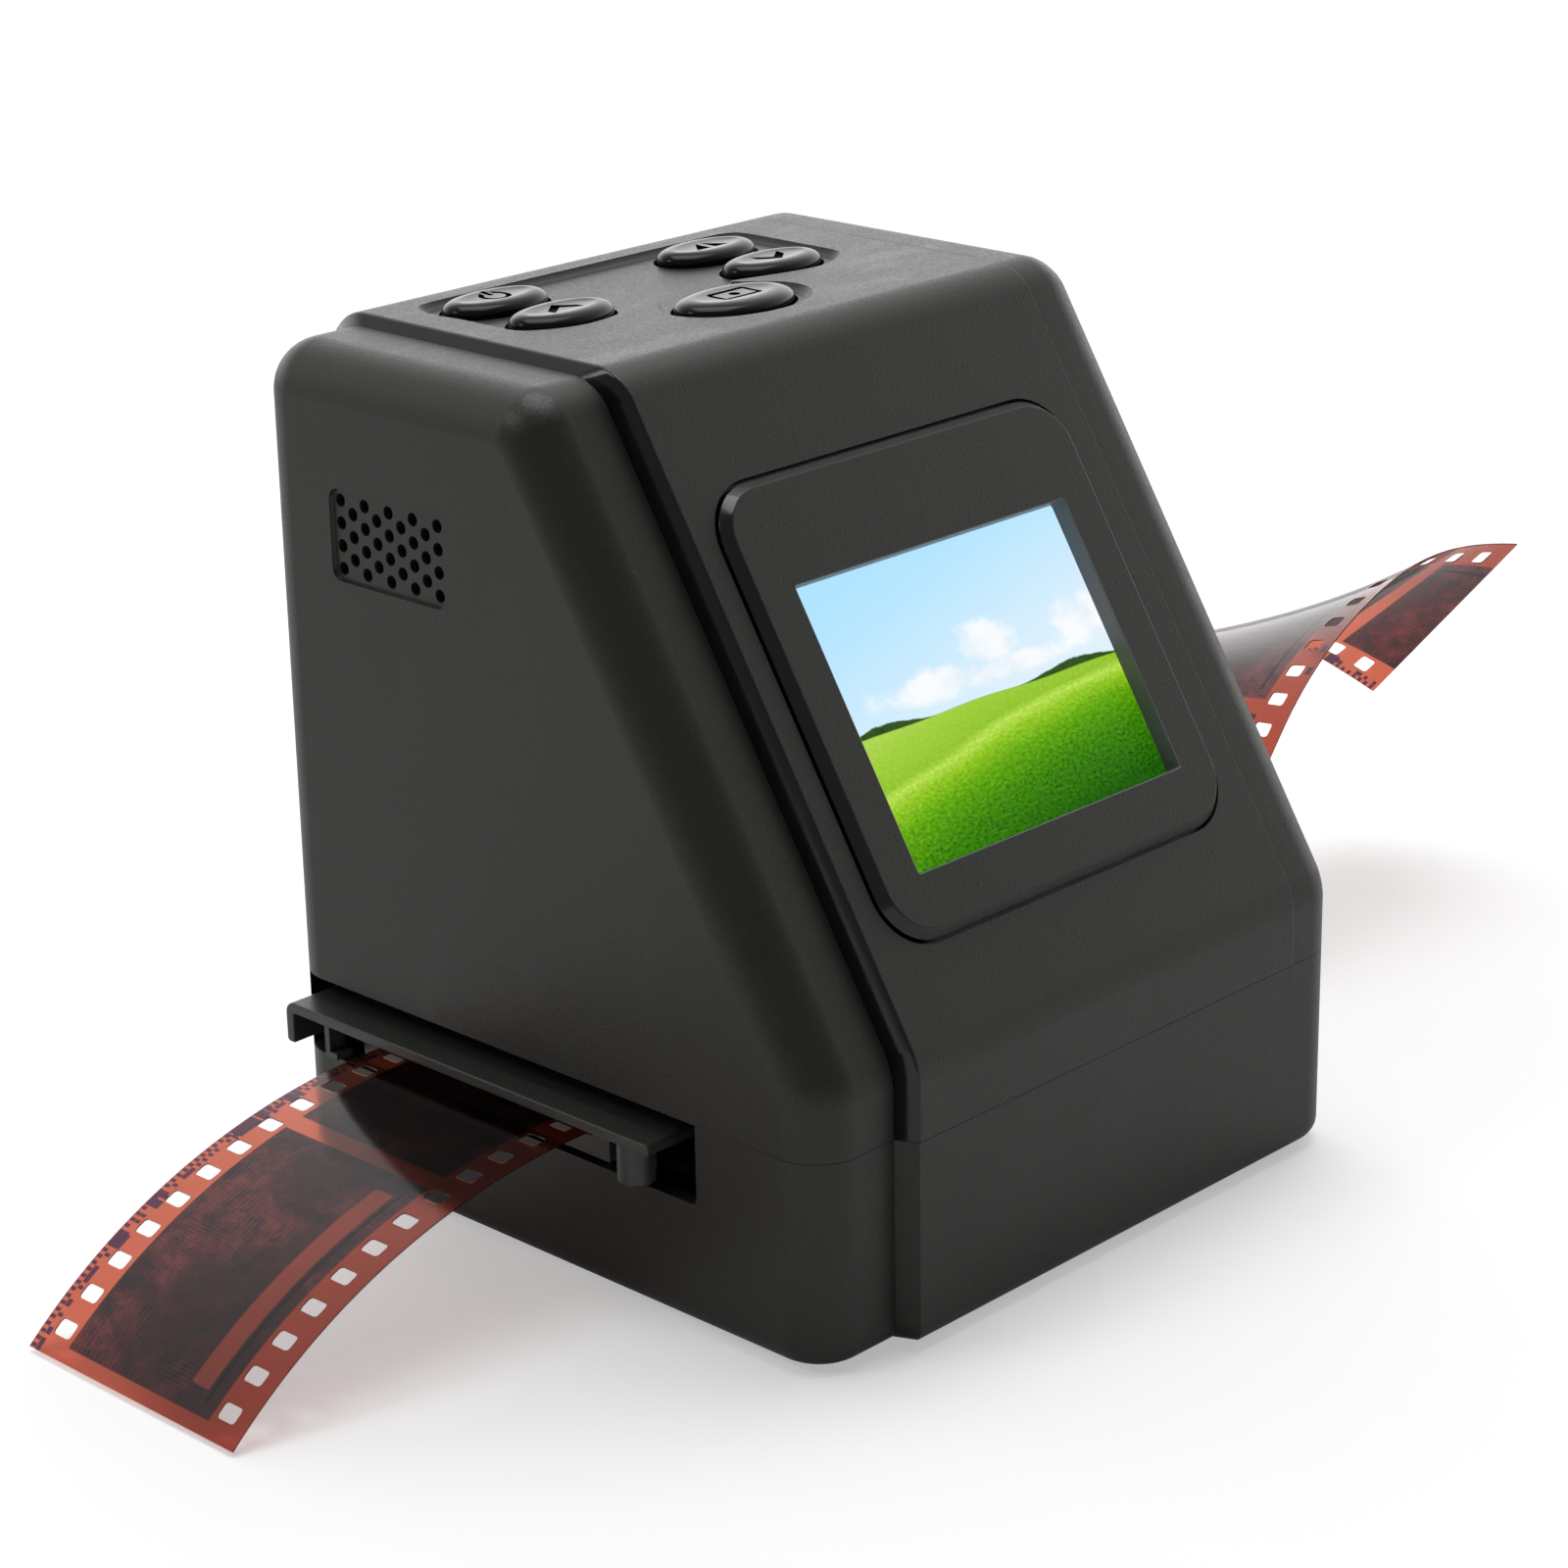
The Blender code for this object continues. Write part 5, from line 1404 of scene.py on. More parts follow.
    def band_hull(self, base: float) -> Shape:
        """The centre band as one solid, with its slanted step at the left.

        Args:
            base: Height of its lower face.

        Returns:
            A closed shape.
        """
        shape = bmesh.new()
        flush = (0, 0, 0, 0)
        foot = self.section(shape, self.foot_x, self.step_drops, 0, base)
        crest = self.section(shape, self.band_left, flush, 0, base)
        end = self.section(shape, self.band_right, flush, 0, base)
        bmesh.ops.bridge_loops(shape, edges=[*foot.edges, *crest.edges])
        bmesh.ops.bridge_loops(shape, edges=[*crest.edges, *end.edges])
        rim = list(crest.edges)
        bmesh.ops.delete(shape, geom=[crest], context="FACES_ONLY")
        face_out(shape)
        soften(shape, rim, 0.0003, 3)
        soften(shape, end.edges, 0.00006, 2)
        return outward(shape)


FORM = CaseForm()


@dataclass
class Casing:
    """The four mouldings of the case."""

    seam: float = 0.00006
    # Width of the bevel and crease beside the band that carry the painted highlight.
    highlight_line: float = 0.00016
    crease_low: float = 0.0127
    below: float = -0.02
    slot_front: float = -0.0215
    slot_rear: float = 0.0442
    slot_floor: float = 0.0156
    slot_in: float = 0.007
    grille_rear: float = 0.03246
    grille_drop: float = 0.01766
    grille_pitch: float = 0.00402
    grille_row: float = 0.00265
    grille_columns: int = 9
    grille_rows: int = 4
    grille_hole: float = 0.00075
    grille_sunk: float = 0.0005
    grille_edge: float = 0.0014
    card_slot: tuple[float, float, float, float] = (-0.0315, -0.0065, 0.0301, 0.0331)
    usb_opening: tuple[float, float, float, float] = (0.0235, 0.0325, 0.0373, 0.0421)
    card_lip: float = 0.0006
    screw_seats: tuple[Point, Point] = ((-0.0385, -0.0335), (0.0385, -0.0368))
    screw_head: float = 0.0027
    screw_sunk: float = 0.0045
    screw_bore: float = 0.0014
    post_radius: float = 0.0038
    post_foot: float = 0.0016

    def side_shell(self, side: int) -> Shape:
        """One side moulding, hollow and open towards the band and below.

        Args:
            side: -1 for the left one, 1 for the right one.

        Returns:
            The shape.
        """
        edge = FORM.foot_x - FORM.joint if side < 0 else FORM.band_right + FORM.joint
        shape = FORM.hull(0, self.below)
        keep_side(
            shape,
            Vector((edge, 0, 0)),
            Vector((-side, 0, 0)),
            self.seam if side < 0 else self.highlight_line,
        )
        keep_side(shape, Vector((0, 0, FORM.parting)), Vector((0, 0, -1)), self.seam)
        return carve(shape, FORM.hull(FORM.wall, self.below))

    def grille(self) -> Iterable[Shape]:
        """The sunk panel of the speaker grille and its holes, as cutters.

        Yields:
            The panel, then all holes in one.
        """
        top = FORM.height - self.grille_drop
        low = top - (self.grille_rows - 1) * self.grille_row
        front = self.grille_rear - (self.grille_columns - 1) / 2 * self.grille_pitch
        edge = self.grille_edge
        corners = oblong(-top - edge, -low + edge, front - edge, self.grille_rear + edge)
        panel = bmesh.new()
        face = outline(panel, [Vector((x, y, FORM.left - 0.01)) for x, y in corners], [edge] * 4, 6)
        lift = pull(panel, face, Vector((0, 0, 0.0101)))
        bmesh.ops.recalc_face_normals(panel, faces=panel.faces)
        step_in(panel, lift, [(0.0001, 0.0002), (0.0001, self.grille_sunk - 0.0003)])
        panel.transform(ALONG_X)
        yield outward(panel)
        holes = []
        surface = self.grille_sunk
        radius = self.grille_hole
        profile = [(0, -0.003), (radius + 0.0009, -0.003), (radius + 0.0001, surface - 0.0002)]
        profile += [(radius, surface + 0.0001), (radius, 0.006), (0, 0.006)]
        for column in range(self.grille_columns):
            y = self.grille_rear - column * self.grille_pitch / 2
            for row in range(self.grille_rows - column % 2):
                z = top - (row + column % 2 / 2) * self.grille_row
                place = Matrix.Translation((FORM.left, y, z)) @ ALONG_X
                holes.append(lathe(profile, 20, place))
        yield merged(holes)

    def left(self) -> None:
        """The left side moulding, with the speaker grille."""
        shape = carve(self.side_shell(-1), *self.grille())
        present(
            "left_side_moulding", shape, Finishes.case, on_case("case_plastic", "left_side_shell")
        )

    def right(self) -> None:
        """The right side moulding, with the slot for memory cards."""
        y0, y1, z0, z1 = self.card_slot
        corners = oblong(-z1, -z0, y0, y1)
        far = FORM.right + 0.01
        slot = prism(corners, [0.0005] * 4, FORM.right - 0.006, far, ALONG_X, 4)
        wide = self.card_lip
        corners = oblong(-z1 - wide, -z0 + wide, y0 - wide, y1 + wide)
        lip = prism(corners, [0.0009] * 4, FORM.right - 0.0004, far, ALONG_X, 4)
        shape = carve(self.side_shell(1), slot, lip)
        # Left-facing faces of the bevel beside the band take the pale finish, a painted highlight.
        for face in shape.faces:
            face.material_index = int(self.on_painted_highlight(face))
        finishes = (Finishes.case, Finishes.edge)
        present("right_side_moulding", shape, finishes, on_case("case_plastic", "right_side_shell"))

    def on_painted_highlight(self, face: Face) -> bool:
        """Whether a face belongs to the painted highlight on the edge beside the band."""
        place = face.calc_center_median().x - FORM.band_right
        return -WELD < place < self.highlight_line * 1.2 and -0.97 < face.normal.x < -0.2

    def band(self, tools: Sequence[Shape]) -> None:
        """The centre band, cut for screen, buttons and USB socket.

        Args:
            tools: Cutters of the screen and the buttons.
        """
        shape = FORM.band_hull(self.below)
        keep_side(shape, Vector((0, 0, FORM.parting)), Vector((0, 0, -1)), self.seam)
        x0, x1, z0, z1 = self.usb_opening
        place = Matrix.Rotation(math.pi / 2, 4, "X")
        usb = prism(
            oblong(x0, x1, z0, z1), [0.001] * 4, -FORM.rear - 0.01, -FORM.rear + 0.004, place, 5
        )
        shape = carve(shape, FORM.hull(FORM.wall, self.below), usb, *tools)
        for face in shape.faces:
            face.material_index = int(self.on_step(face))
        finishes = (Finishes.case, Finishes.step)
        present("centre_band_moulding", shape, finishes, on_case("case_plastic", "centre_band"))

    def on_step(self, face: Face) -> bool:
        """Whether a face belongs to the polished wall of the step."""
        place = face.calc_center_median().x
        return FORM.foot_x - WELD < place < FORM.band_left + 0.0002 and face.normal.x < -0.5

    def lower(self) -> None:
        """The lower case, with the film slots at both sides."""
        shape = FORM.hull(0, self.below)
        keep_side(shape, Vector((0, 0, FORM.parting - FORM.joint)), Vector((0, 0, 1)), self.seam)
        keep_side(shape, Vector((0, 0, FORM.floor + FORM.base_rounding)), Vector((0, 0, -1)), 0)
        base = min(shape.faces, key=lambda face: face.calc_center_median().z)
        step_in(shape, base, quarter_steps(FORM.base_rounding, 10, 1))
        x, wide = FORM.band_right, self.highlight_line
        face, before = FORM.front, FORM.front - 0.001
        corners = [(x - 0.0001, before), (x + wide, before), (x + wide, face), (x, face + wide)]
        crease = prism(corners, [0] * 4, self.crease_low, FORM.parting + 0.001)
        tools = [FORM.hull(FORM.wall, FORM.floor + FORM.wall), crease]
        for side in (-1, 1):
            wall = FORM.left if side < 0 else FORM.right
            x0, x1 = sorted((wall + side * 0.012, wall - side * self.slot_in))
            floor, roof = -self.slot_floor, -FORM.parting - 0.01
            front, rear = self.slot_front, self.slot_rear
            corners = [(floor, front), (floor, rear), (roof, rear), (roof, front)]
            tools.append(prism(corners, [0.0008, 0.0008, 0, 0], x0, x1, ALONG_X, 5))
        head, bore, sunk = self.screw_head, self.screw_bore, self.screw_sunk
        for x, y in self.screw_seats:
            well = [(0, -0.01), (head, -0.01), (head, sunk), (bore, sunk), (bore, 0.03), (0, 0.03)]
            tools.append(lathe(well, 32, Matrix.Translation((x, y, 0))))
        shape = carve(shape, *tools)
        posts = []
        foot, head = self.post_foot, FORM.parting - FORM.gap
        for x, y in self.screw_seats:
            tube = [(bore, foot), (self.post_radius, foot), (self.post_radius, head)]
            tube += [(bore, head), (bore, foot)]
            posts.append(lathe(tube, 32, Matrix.Translation((x, y, 0))))
        # Left-facing faces of the crease beside the band take the pale finish, a painted highlight.
        for face in shape.faces:
            face.material_index = int(self.on_painted_highlight(face))
        shape = merged([shape, *posts])
        finishes = (Finishes.case, Finishes.edge)
        present("lower_case_moulding", shape, finishes, on_case("case_plastic", "lower_case"))


@dataclass
class Screen:
    """The screen's bezel, pane and lit panel, measured down the slope."""

    left: float = -0.0275
    right: float = 0.0301
    top: float = 0.0155
    bottom: float = 0.0689
    corner: float = 0.0065
    proud: float = 0.0013
    slant: float = 0.0011
    pocket: float = 0.0012
    groove: float = 0.00045
    rim: float = 0.00014
    window_x: float = 0.00135
    window_top: float = 0.0281
    window_bottom: float = 0.0618
    window_width: float = 0.0449
    pane_margin: float = 0.0015
    pane_thickness: float = 0.0004
    panel_margin: float = 0.0032
    panel_back: float = 0.0055
    lean: float = 0.0008

    def edges(self, wider: float) -> list[Point]:
        """The bezel's corners, each drawn out by a width."""
        return oblong(
            self.left - wider, self.right + wider, -self.bottom - wider, -self.top + wider
        )

    def window(self, wider: float) -> list[Point]:
        """The window's corners, each drawn out by a width."""
        half = self.window_width / 2 + wider
        return oblong(
            self.window_x - half,
            self.window_x + half,
            -self.window_bottom - wider,
            -self.window_top + wider,
        )

    def cutters(self) -> list[Shape]:
        """What the screen cuts out of the band.

        Returns:
            The pocket under the bezel and the opening behind the pane.
        """
        wide = self.groove
        frame_of = FORM.slope_frame
        pocket = prism(
            self.edges(wide), [self.corner + wide] * 4, -self.pocket, 0.012, frame_of, 10
        )
        opening = prism(
            self.window(self.pane_margin + FORM.gap), [0.001] * 4, -0.006, 0.012, frame_of, 4
        )
        return [pocket, opening]

    def bezel(self) -> None:
        """The raised bezel with its slanted edge and the window in it."""
        shape = bmesh.new()
        low = FORM.gap - self.pocket
        ledge = self.proud - self.slant
        face = outline(
            shape, [Vector((x, y, low)) for x, y in self.edges(0)], [self.corner] * 4, 10
        )
        face = pull(shape, face, Vector((0, 0, ledge - 0.0001 - low)))
        face_out(shape)
        run, rise = self.slant - 0.00025, self.slant - 0.00012
        steps = [(0.00003, 0.0001), (run, rise), (0.0001, 0.00008), (0.00015, 0.00004)]
        step_in(shape, face, steps)
        shape.transform(FORM.slope_frame)
        outward(shape)
        hole = prism(self.window(0), [0.0003] * 4, -0.01, 0.012, FORM.slope_frame, 3)
        shape = carve(shape, hole)
        across = FORM.slope_frame.inverted()
        rim = [
            edge
            for edge in sharp_edges(shape, 60)
            if all((across @ vert.co).z > ledge for vert in edge.verts)
        ]
        soften(shape, rim, self.rim)
        # Faces of the window's inner wall take the pale grey, as painted light.
        for face in shape.faces:
            middle, normal = across @ face.calc_center_median(), across.to_3x3() @ face.normal
            past = self.rim * 1.5
            inside = abs(middle.x - self.window_x) < self.window_width / 2 + past
            y = middle.y + past
            inside = inside and -self.window_bottom < y < -self.window_top + 2 * past
            # Left-facing faces take the darker step gloss, painted shade on that side of the bezel.
            face.material_index = 2 if inside and normal.z < 0.95 else int(normal.x < -0.3)
        finishes = (Finishes.case, Finishes.step, Finishes.wall)
        present("screen_bezel_frame", shape, finishes, on_case("case_plastic", "screen_bezel"))

    def pane(self) -> None:
        """The clear pane behind the bezel."""
        high = -self.pocket
        shape = prism(
            self.window(self.pane_margin),
            [0.0006] * 4,
            high - self.pane_thickness,
            high,
            FORM.slope_frame,
            4,
        )
        soften(shape, sharp_edges(shape), 0.00005)
        present("screen_pane", shape, Finishes.pane, on_case("clear_pane", "screen_window"))

    def panel(self) -> None:
        """The lit panel, whose picture fills the window."""
        top = -self.pocket - self.pane_thickness - 0.0001
        raised = prism(
            self.window(self.pane_margin - 0.0001), [0.0005] * 4, top - 0.0006, top, IN_PLACE, 3
        )
        shape = prism(
            self.window(self.panel_margin),
            [0.0005] * 4,
            -self.panel_back,
            top - 0.0008,
            IN_PLACE,
            3,
        )
        shape = carve(shape, raised, operation="UNION")
        soften(shape, sharp_edges(shape), 0.00015)
        picture = shape.loops.layers.uv.new("picture")
        (x0, y0), _, (x1, y1), _ = self.window(0)
        x0, x1 = x0 + self.lean, x1 + self.lean
        for face in shape.faces:
            for loop in face.loops:
                loop[picture].uv = (
                    (loop.vert.co.x - x0) / (x1 - x0), (loop.vert.co.y - y0) / (y1 - y0)
                )
        shape.transform(FORM.slope_frame)
        present("display_panel", shape, Finishes.display, on_case("display", "lcd_panel"))


class Glyph(Enum):
    """Plain signs on the buttons."""

    POWER = "power"
    UP = "up"
    MIRROR = "mirror"
    DOWN = "down"
    SCAN = "scan"


@dataclass
class Buttons:
    """The five buttons, their signs and the dish that they stand in."""

    left_x: float = -0.0169
    right_x: float = 0.0174
    rear_shift: float = 0.0007
    middle_x: float = 0.0006
    rear_y: float = 0.0342
    front_y: float = 0.0239
    wide_y: float = 0.0137
    half_length: float = 0.0072
    half_width: float = 0.0043
    wide_length: float = 0.0083
    wide_width: float = 0.0053
    clearance: float = 0.0004
    flange: float = 0.0007
    stem: float = 0.0015
    rise: float = 0.0004
    dome: float = 0.00114
    crown: float = 0.46
    hollow: float = 0.00014
    dome_steps: int = 10
    hollow_steps: int = 7
    flange_thickness: float = 0.001
    stem_length: float = 0.0022
    sign_line: float = 0.00065
    sign_depth: float = 0.00035
    sign_area: Point = (0.0034, 0.0025)
    arrow_half: float = 0.0023
    arrow_foot: float = -0.0015
    arrow_notch: float = 0.0003
    arrow_tip: float = 0.0017
    arrow_thick: float = 0.0013
    wedge_x: Point = (0.0004, 0.0027)
    wedge_y: Point = (-0.0013, 0.0014)
    ring_radius: float = 0.0016
    ring_gap: float = 0.0007
    stroke_y: Point = (0.0004, 0.0023)
    frame_half: Point = (0.0031, 0.0018)
    frame_corner: float = 0.0007
    dot_radius: float = 0.0007
    dish_depth: float = 0.0008
    dish_margin: float = 0.0021
    dish: tuple[float, float, float, float] = (-0.0262, 0.0268, 0.0205, 0.0396)
    dish_corner: float = 0.005
    dish_steps: int = 160

    def places(self) -> dict[Glyph, tuple[float, float, float, float]]:
        """Centre and half sizes of each button.

        Returns:
            X, Y, half length and half width by sign.
        """
        small = (self.half_length, self.half_width)
        return {
            Glyph.POWER: (self.left_x - self.rear_shift, self.rear_y, *small),
            Glyph.UP: (self.left_x, self.front_y, *small),
            Glyph.MIRROR: (self.right_x - self.rear_shift, self.rear_y, *small),
            Glyph.DOWN: (self.right_x, self.front_y, *small),
            Glyph.SCAN: (self.middle_x, self.wide_y, self.wide_length, self.wide_width),
        }

    def reach(self, ray: Vector) -> float:
        """How far the dish reaches from its middle in one direction.

        Args:
            ray: The direction.

        Returns:
            The distance to its edge.
        """
        middle = Vector((self.middle_x, self.front_y))
        x0, x1, y0, y1 = self.dish
        ways = []
        for limits, start, part in (((x0, x1), middle.x, ray.x), ((y0, y1), middle.y, ray.y)):
            ways += [(limit - start) / part for limit in limits if (limit - start) * part > 0]
        farthest = min(ways)
        for x, y, a, b in self.places().values():
            a, b = a + self.dish_margin, b + self.dish_margin
            start = Vector(((middle.x - x) / a, (middle.y - y) / b))
            way = Vector((ray.x / a, ray.y / b))
            square, half, rest = way.dot(way), start.dot(way), start.dot(start) - 1
            inside = half * half - square * rest
            if inside > 0:
                along = (math.sqrt(inside) - half) / square
                if ray.y > 0:
                    along = min(along, (y1 - middle.y) / ray.y)
                farthest = max(farthest, along)
        return farthest

    def dish_tool(self) -> Shape:
        """The cutter of the dish, whose lobed wall curves down to a flat floor.

        Returns:
            A closed shape.
        """
        shape = bmesh.new()
        bmesh.ops.create_circle(shape, cap_ends=True, segments=self.dish_steps, radius=1)
        for vert in shape.verts:
            ray = vert.co.xy.normalized()
            vert.co = (*(ray * self.reach(ray)), 0)
        for _ in range(3):
            bmesh.ops.smooth_vert(
                shape, verts=shape.verts, factor=0.5, use_axis_x=True, use_axis_y=True
            )
        bmesh.ops.translate(
            shape, vec=(self.middle_x, self.front_y, FORM.height + 0.004), verts=shape.verts
        )
        face = shape.faces[:][0]
        face = pull(shape, face, Vector((0, 0, -0.004 - 0.00005)))
        face_out(shape)
        depth = self.dish_depth
        step_in(
            shape, face, [(0.00018, 0.3 * depth), (0.00036, 0.36 * depth), (0.0005, 0.28 * depth)]
        )
        return outward(shape)

    def cutters(self) -> list[Shape]:
        """What the buttons cut out of the band.

        Returns:
            The dish and the holes in its floor.
        """
        holes = []
        for x, y, a, b in self.places().values():
            a, b = a + self.clearance, b + self.clearance
            low, high = FORM.height - 0.005, FORM.height + 0.004
            holes.append(tower((x, y), [(a, b, low), (a, b, high)], 64))
        return [self.dish_tool(), merged(holes)]

    def sign(self, glyph: Glyph, x: float, y: float, top: float) -> Shape:
        """The cutter of a sign in a button's top.

        Args:
            glyph: The sign.
            x: Its middle from side to side.
            y: Its middle from front to rear.
            top: Height of the button's top.

        Returns:
            A closed shape.
        """
        low, high = top - self.sign_depth, top + 0.001
        line = self.sign_line
        place = Matrix.Translation((x, y, 0))
        if glyph in (Glyph.UP, Glyph.DOWN):
            turned = place if glyph is Glyph.UP else place @ Matrix.Rotation(math.pi, 4, "Z")
            half, foot, thick = self.arrow_half, self.arrow_foot, self.arrow_thick
            corners = [(-half, foot), (0, self.arrow_notch), (half, foot)]
            corners += [(half, foot + thick), (0, self.arrow_tip), (-half, foot + thick)]
            return prism(corners, [0.0001] * 6, low, high, turned, 2)
        if glyph is Glyph.MIRROR:
            pair = []
            (near, far), (foot, tip) = self.wedge_x, self.wedge_y
            for side in (-1, 1):
                corners = [(side * near, foot), (side * near, tip), (side * far, foot)]
                pair.append(prism(corners, [0.0001] * 3, low, high, place, 2))
            return merged(pair)
        if glyph is Glyph.POWER:
            inner, outer = self.ring_radius - line / 2, self.ring_radius + line / 2
            ring = lathe(
                [(inner, low), (outer, low), (outer, high), (inner, high), (inner, low)], 40, place
            )
            half = self.ring_gap
            far = Vector((x + half, y + 0.003, high + 0.001))
            gap = block(Vector((x - half, y, low - 0.001)), far)
            corners = oblong(-line / 2, line / 2, *self.stroke_y)
            stroke = prism(corners, [0.0001] * 4, low, high, place, 2)
            return merged([carve(ring, gap), stroke])
        shape = bmesh.new()
        wide, deep = self.frame_half
        corners = [Vector((*corner, low)) for corner in oblong(-wide, wide, -deep, deep)]
        face = outline(shape, corners, [self.frame_corner] * 4, 5)
        bmesh.ops.inset_region(
            shape, faces=[face], thickness=line, use_even_offset=True, use_boundary=True
        )
        bmesh.ops.delete(shape, geom=[face], context="FACES")
        made = bmesh.ops.extrude_face_region(shape, geom=list(shape.faces))["geom"]
        moved = [item for item in made if isinstance(item, Vert)]
        bmesh.ops.translate(shape, vec=(0, 0, high - low), verts=moved)
        shape.transform(place)
        outward(shape)
        radius = self.dot_radius
        dot = lathe([(0, low), (radius, low), (radius, high), (0, high)], 20, place)
        return merged([shape, dot])

    def build(self) -> None:
        """Every button, with its sign sunk in its crowned top."""
        flange_top = FORM.height - FORM.wall - FORM.gap
        flange_low = flange_top - self.flange_thickness
        rim = FORM.height - self.dish_depth + self.rise
        for glyph, (x, y, a, b) in self.places().items():
            wide = self.flange
            sections = [
                (self.stem, self.stem, flange_low - self.stem_length),
                (self.stem, self.stem, flange_low),
                (a + wide, b + wide, flange_low),
                (a + wide, b + wide, flange_top),
                (a, b, flange_top),
                (a, b, rim - 0.0001),
            ]
            for number in range(1, self.dome_steps + 1):
                turn = math.pi / 2 * number / self.dome_steps
                drawn = b * self.crown * (1 - math.cos(turn))
                sections.append((a - drawn, b - drawn, rim + self.dome * math.sin(turn)))
            for number in range(1, self.hollow_steps + 1):
                share = number / self.hollow_steps
                drawn = b * (self.crown + (0.9 - self.crown) * share)
                lowered = self.hollow * share * (2 - share)
                sections.append((a - drawn, b - drawn, rim + self.dome - lowered))
            shape = tower((x, y), sections, 72)
            floor = rim + self.dome - self.hollow
            shape = carve(shape, self.sign(glyph, x, y, floor))
            for face in shape.faces:
                middle = face.calc_center_median()
                wide, deep = self.sign_area
                near = abs(middle.x - x) < wide and abs(middle.y - y) < deep
                face.material_index = int(near and rim < middle.z < floor - 0.00016)
            name = glyph.value
            finishes = (Finishes.gloss, Finishes.sign)
            role = Role(f"{name}_button_body", "gloss_black", (f"{name}_button",))
            present(f"{name}_cap", shape, finishes, role)


@dataclass
class Carrier:
    """The visible cover of the film carrier."""

    front: float = -0.0172
    rear: float = 0.0436
    skirt: float = 0.0173
    top: float = 0.0224
    thickness: float = 0.0013
    corner: float = 0.0014
    reach: float = 0.003
    gate: tuple[float, float] = (0.037, 0.025)
    film_y: float = 0.0131
    film_z: float = 0.019
    rim: float = 0.0025
    rib_y: float = 0.0362
    rib_thickness: float = 0.0008
    rib_length: float = 0.0024
    rib_lip: float = 0.0012
    peg_y: float = -0.0132
    peg_radius: float = 0.0022
    peg_low: float = 0.0163
    lift: float = 0.000375
    hinge: tuple[float, float, float] = (0.026, 0.0362, 0.0188)
    knuckle_radius: float = 0.0019
    knuckle_length: float = 0.0037
    pin_radius: float = 0.0011

    def build(self) -> None:
        """The cover: plate with a rear skirt, pressure frame, pegs, ribs and hinge knuckles."""
        half = FORM.right + self.reach
        under = self.top - self.thickness
        skirt = self.rear - self.thickness
        corners = [
            (-under, self.front),
            (-self.top, self.front),
            (-self.top, self.rear),
            (-self.skirt, self.rear),
            (-self.skirt, skirt),
            (-under, skirt),
        ]
        reaches = [0.0002, 0.0005, self.corner, 0.0005, 0.0002, 0.0003]
        shape = prism(corners, reaches, -half, half, ALONG_X, 6)
        ends = []
        for edge in sharp_edges(shape, 50):
            first, second = (vert.co.x for vert in edge.verts)
            if abs(abs(first) - half) < WELD and abs(first - second) < WELD:
                ends.append(edge)
        soften(shape, ends, 0.0003, 4)
        low = self.film_z + self.lift
        middle = (under + self.top) / 2
        length, width = self.gate
        joins = [self.over_gate(length + 2 * self.rim, width + 2 * self.rim, low, middle)]
        for side in (-1, 1):
            radius, foot = self.peg_radius, self.peg_low
            profile = [(0, foot), (radius - 0.0004, foot), (radius, foot + 0.0004)]
            profile += [(radius, middle), (0, middle)]
            place = Matrix.Translation((side * (half - radius), self.peg_y, 0))
            joins.append(lathe(profile, 40, place))
            x0, x1 = sorted((side * half, side * (half - self.rib_length)))
            thick = self.rib_thickness
            y0, y1 = self.rib_y - thick / 2, self.rib_y + thick / 2
            joins.append(block(Vector((x0, y0, self.skirt)), Vector((x1, y1, middle))))
            lip = Vector((x1, self.rib_y, self.skirt + thick))
            joins.append(block(Vector((x0, y0 - self.rib_lip, self.skirt)), lip))
            x, y, z = self.hinge
            x0, x1 = sorted((side * x, side * (x + self.knuckle_length)))
            place = Matrix.Translation((x0, y, z)) @ ALONG_X
            radius = self.knuckle_radius
            joins.append(lathe([(0, 0), (radius, 0), (radius, x1 - x0), (0, x1 - x0)], 24, place))
            joins.append(block(Vector((x0, y - radius, z)), Vector((x1, y + radius, middle))))
        shape = carve(shape, *joins, operation="UNION")
        window = self.over_gate(length, width, 0.005, 0.035)
        pins = []
        radius = self.pin_radius
        for side in (-1, 1):
            x, y, z = self.hinge
            place = Matrix.Translation((min(side * x, side * (x + 0.008)) - 0.002, y, z)) @ ALONG_X
            pins.append(lathe([(0, 0), (radius, 0), (radius, 0.012), (0, 0.012)], 20, place))
        shape = carve(shape, window, merged(pins))
        present(
            "carrier_lid",
            shape,
            Finishes.carrier,
            Role(CARRIER_BODY, "dark_plastic", ("carrier_cover",)),
        )

    def over_gate(self, length: float, width: float, low: float, high: float) -> Shape:
        """A block over the middle of the gate."""
        x, y = length / 2, width / 2
        return block(Vector((-x, self.film_y - y, low)), Vector((x, self.film_y + y, high)))


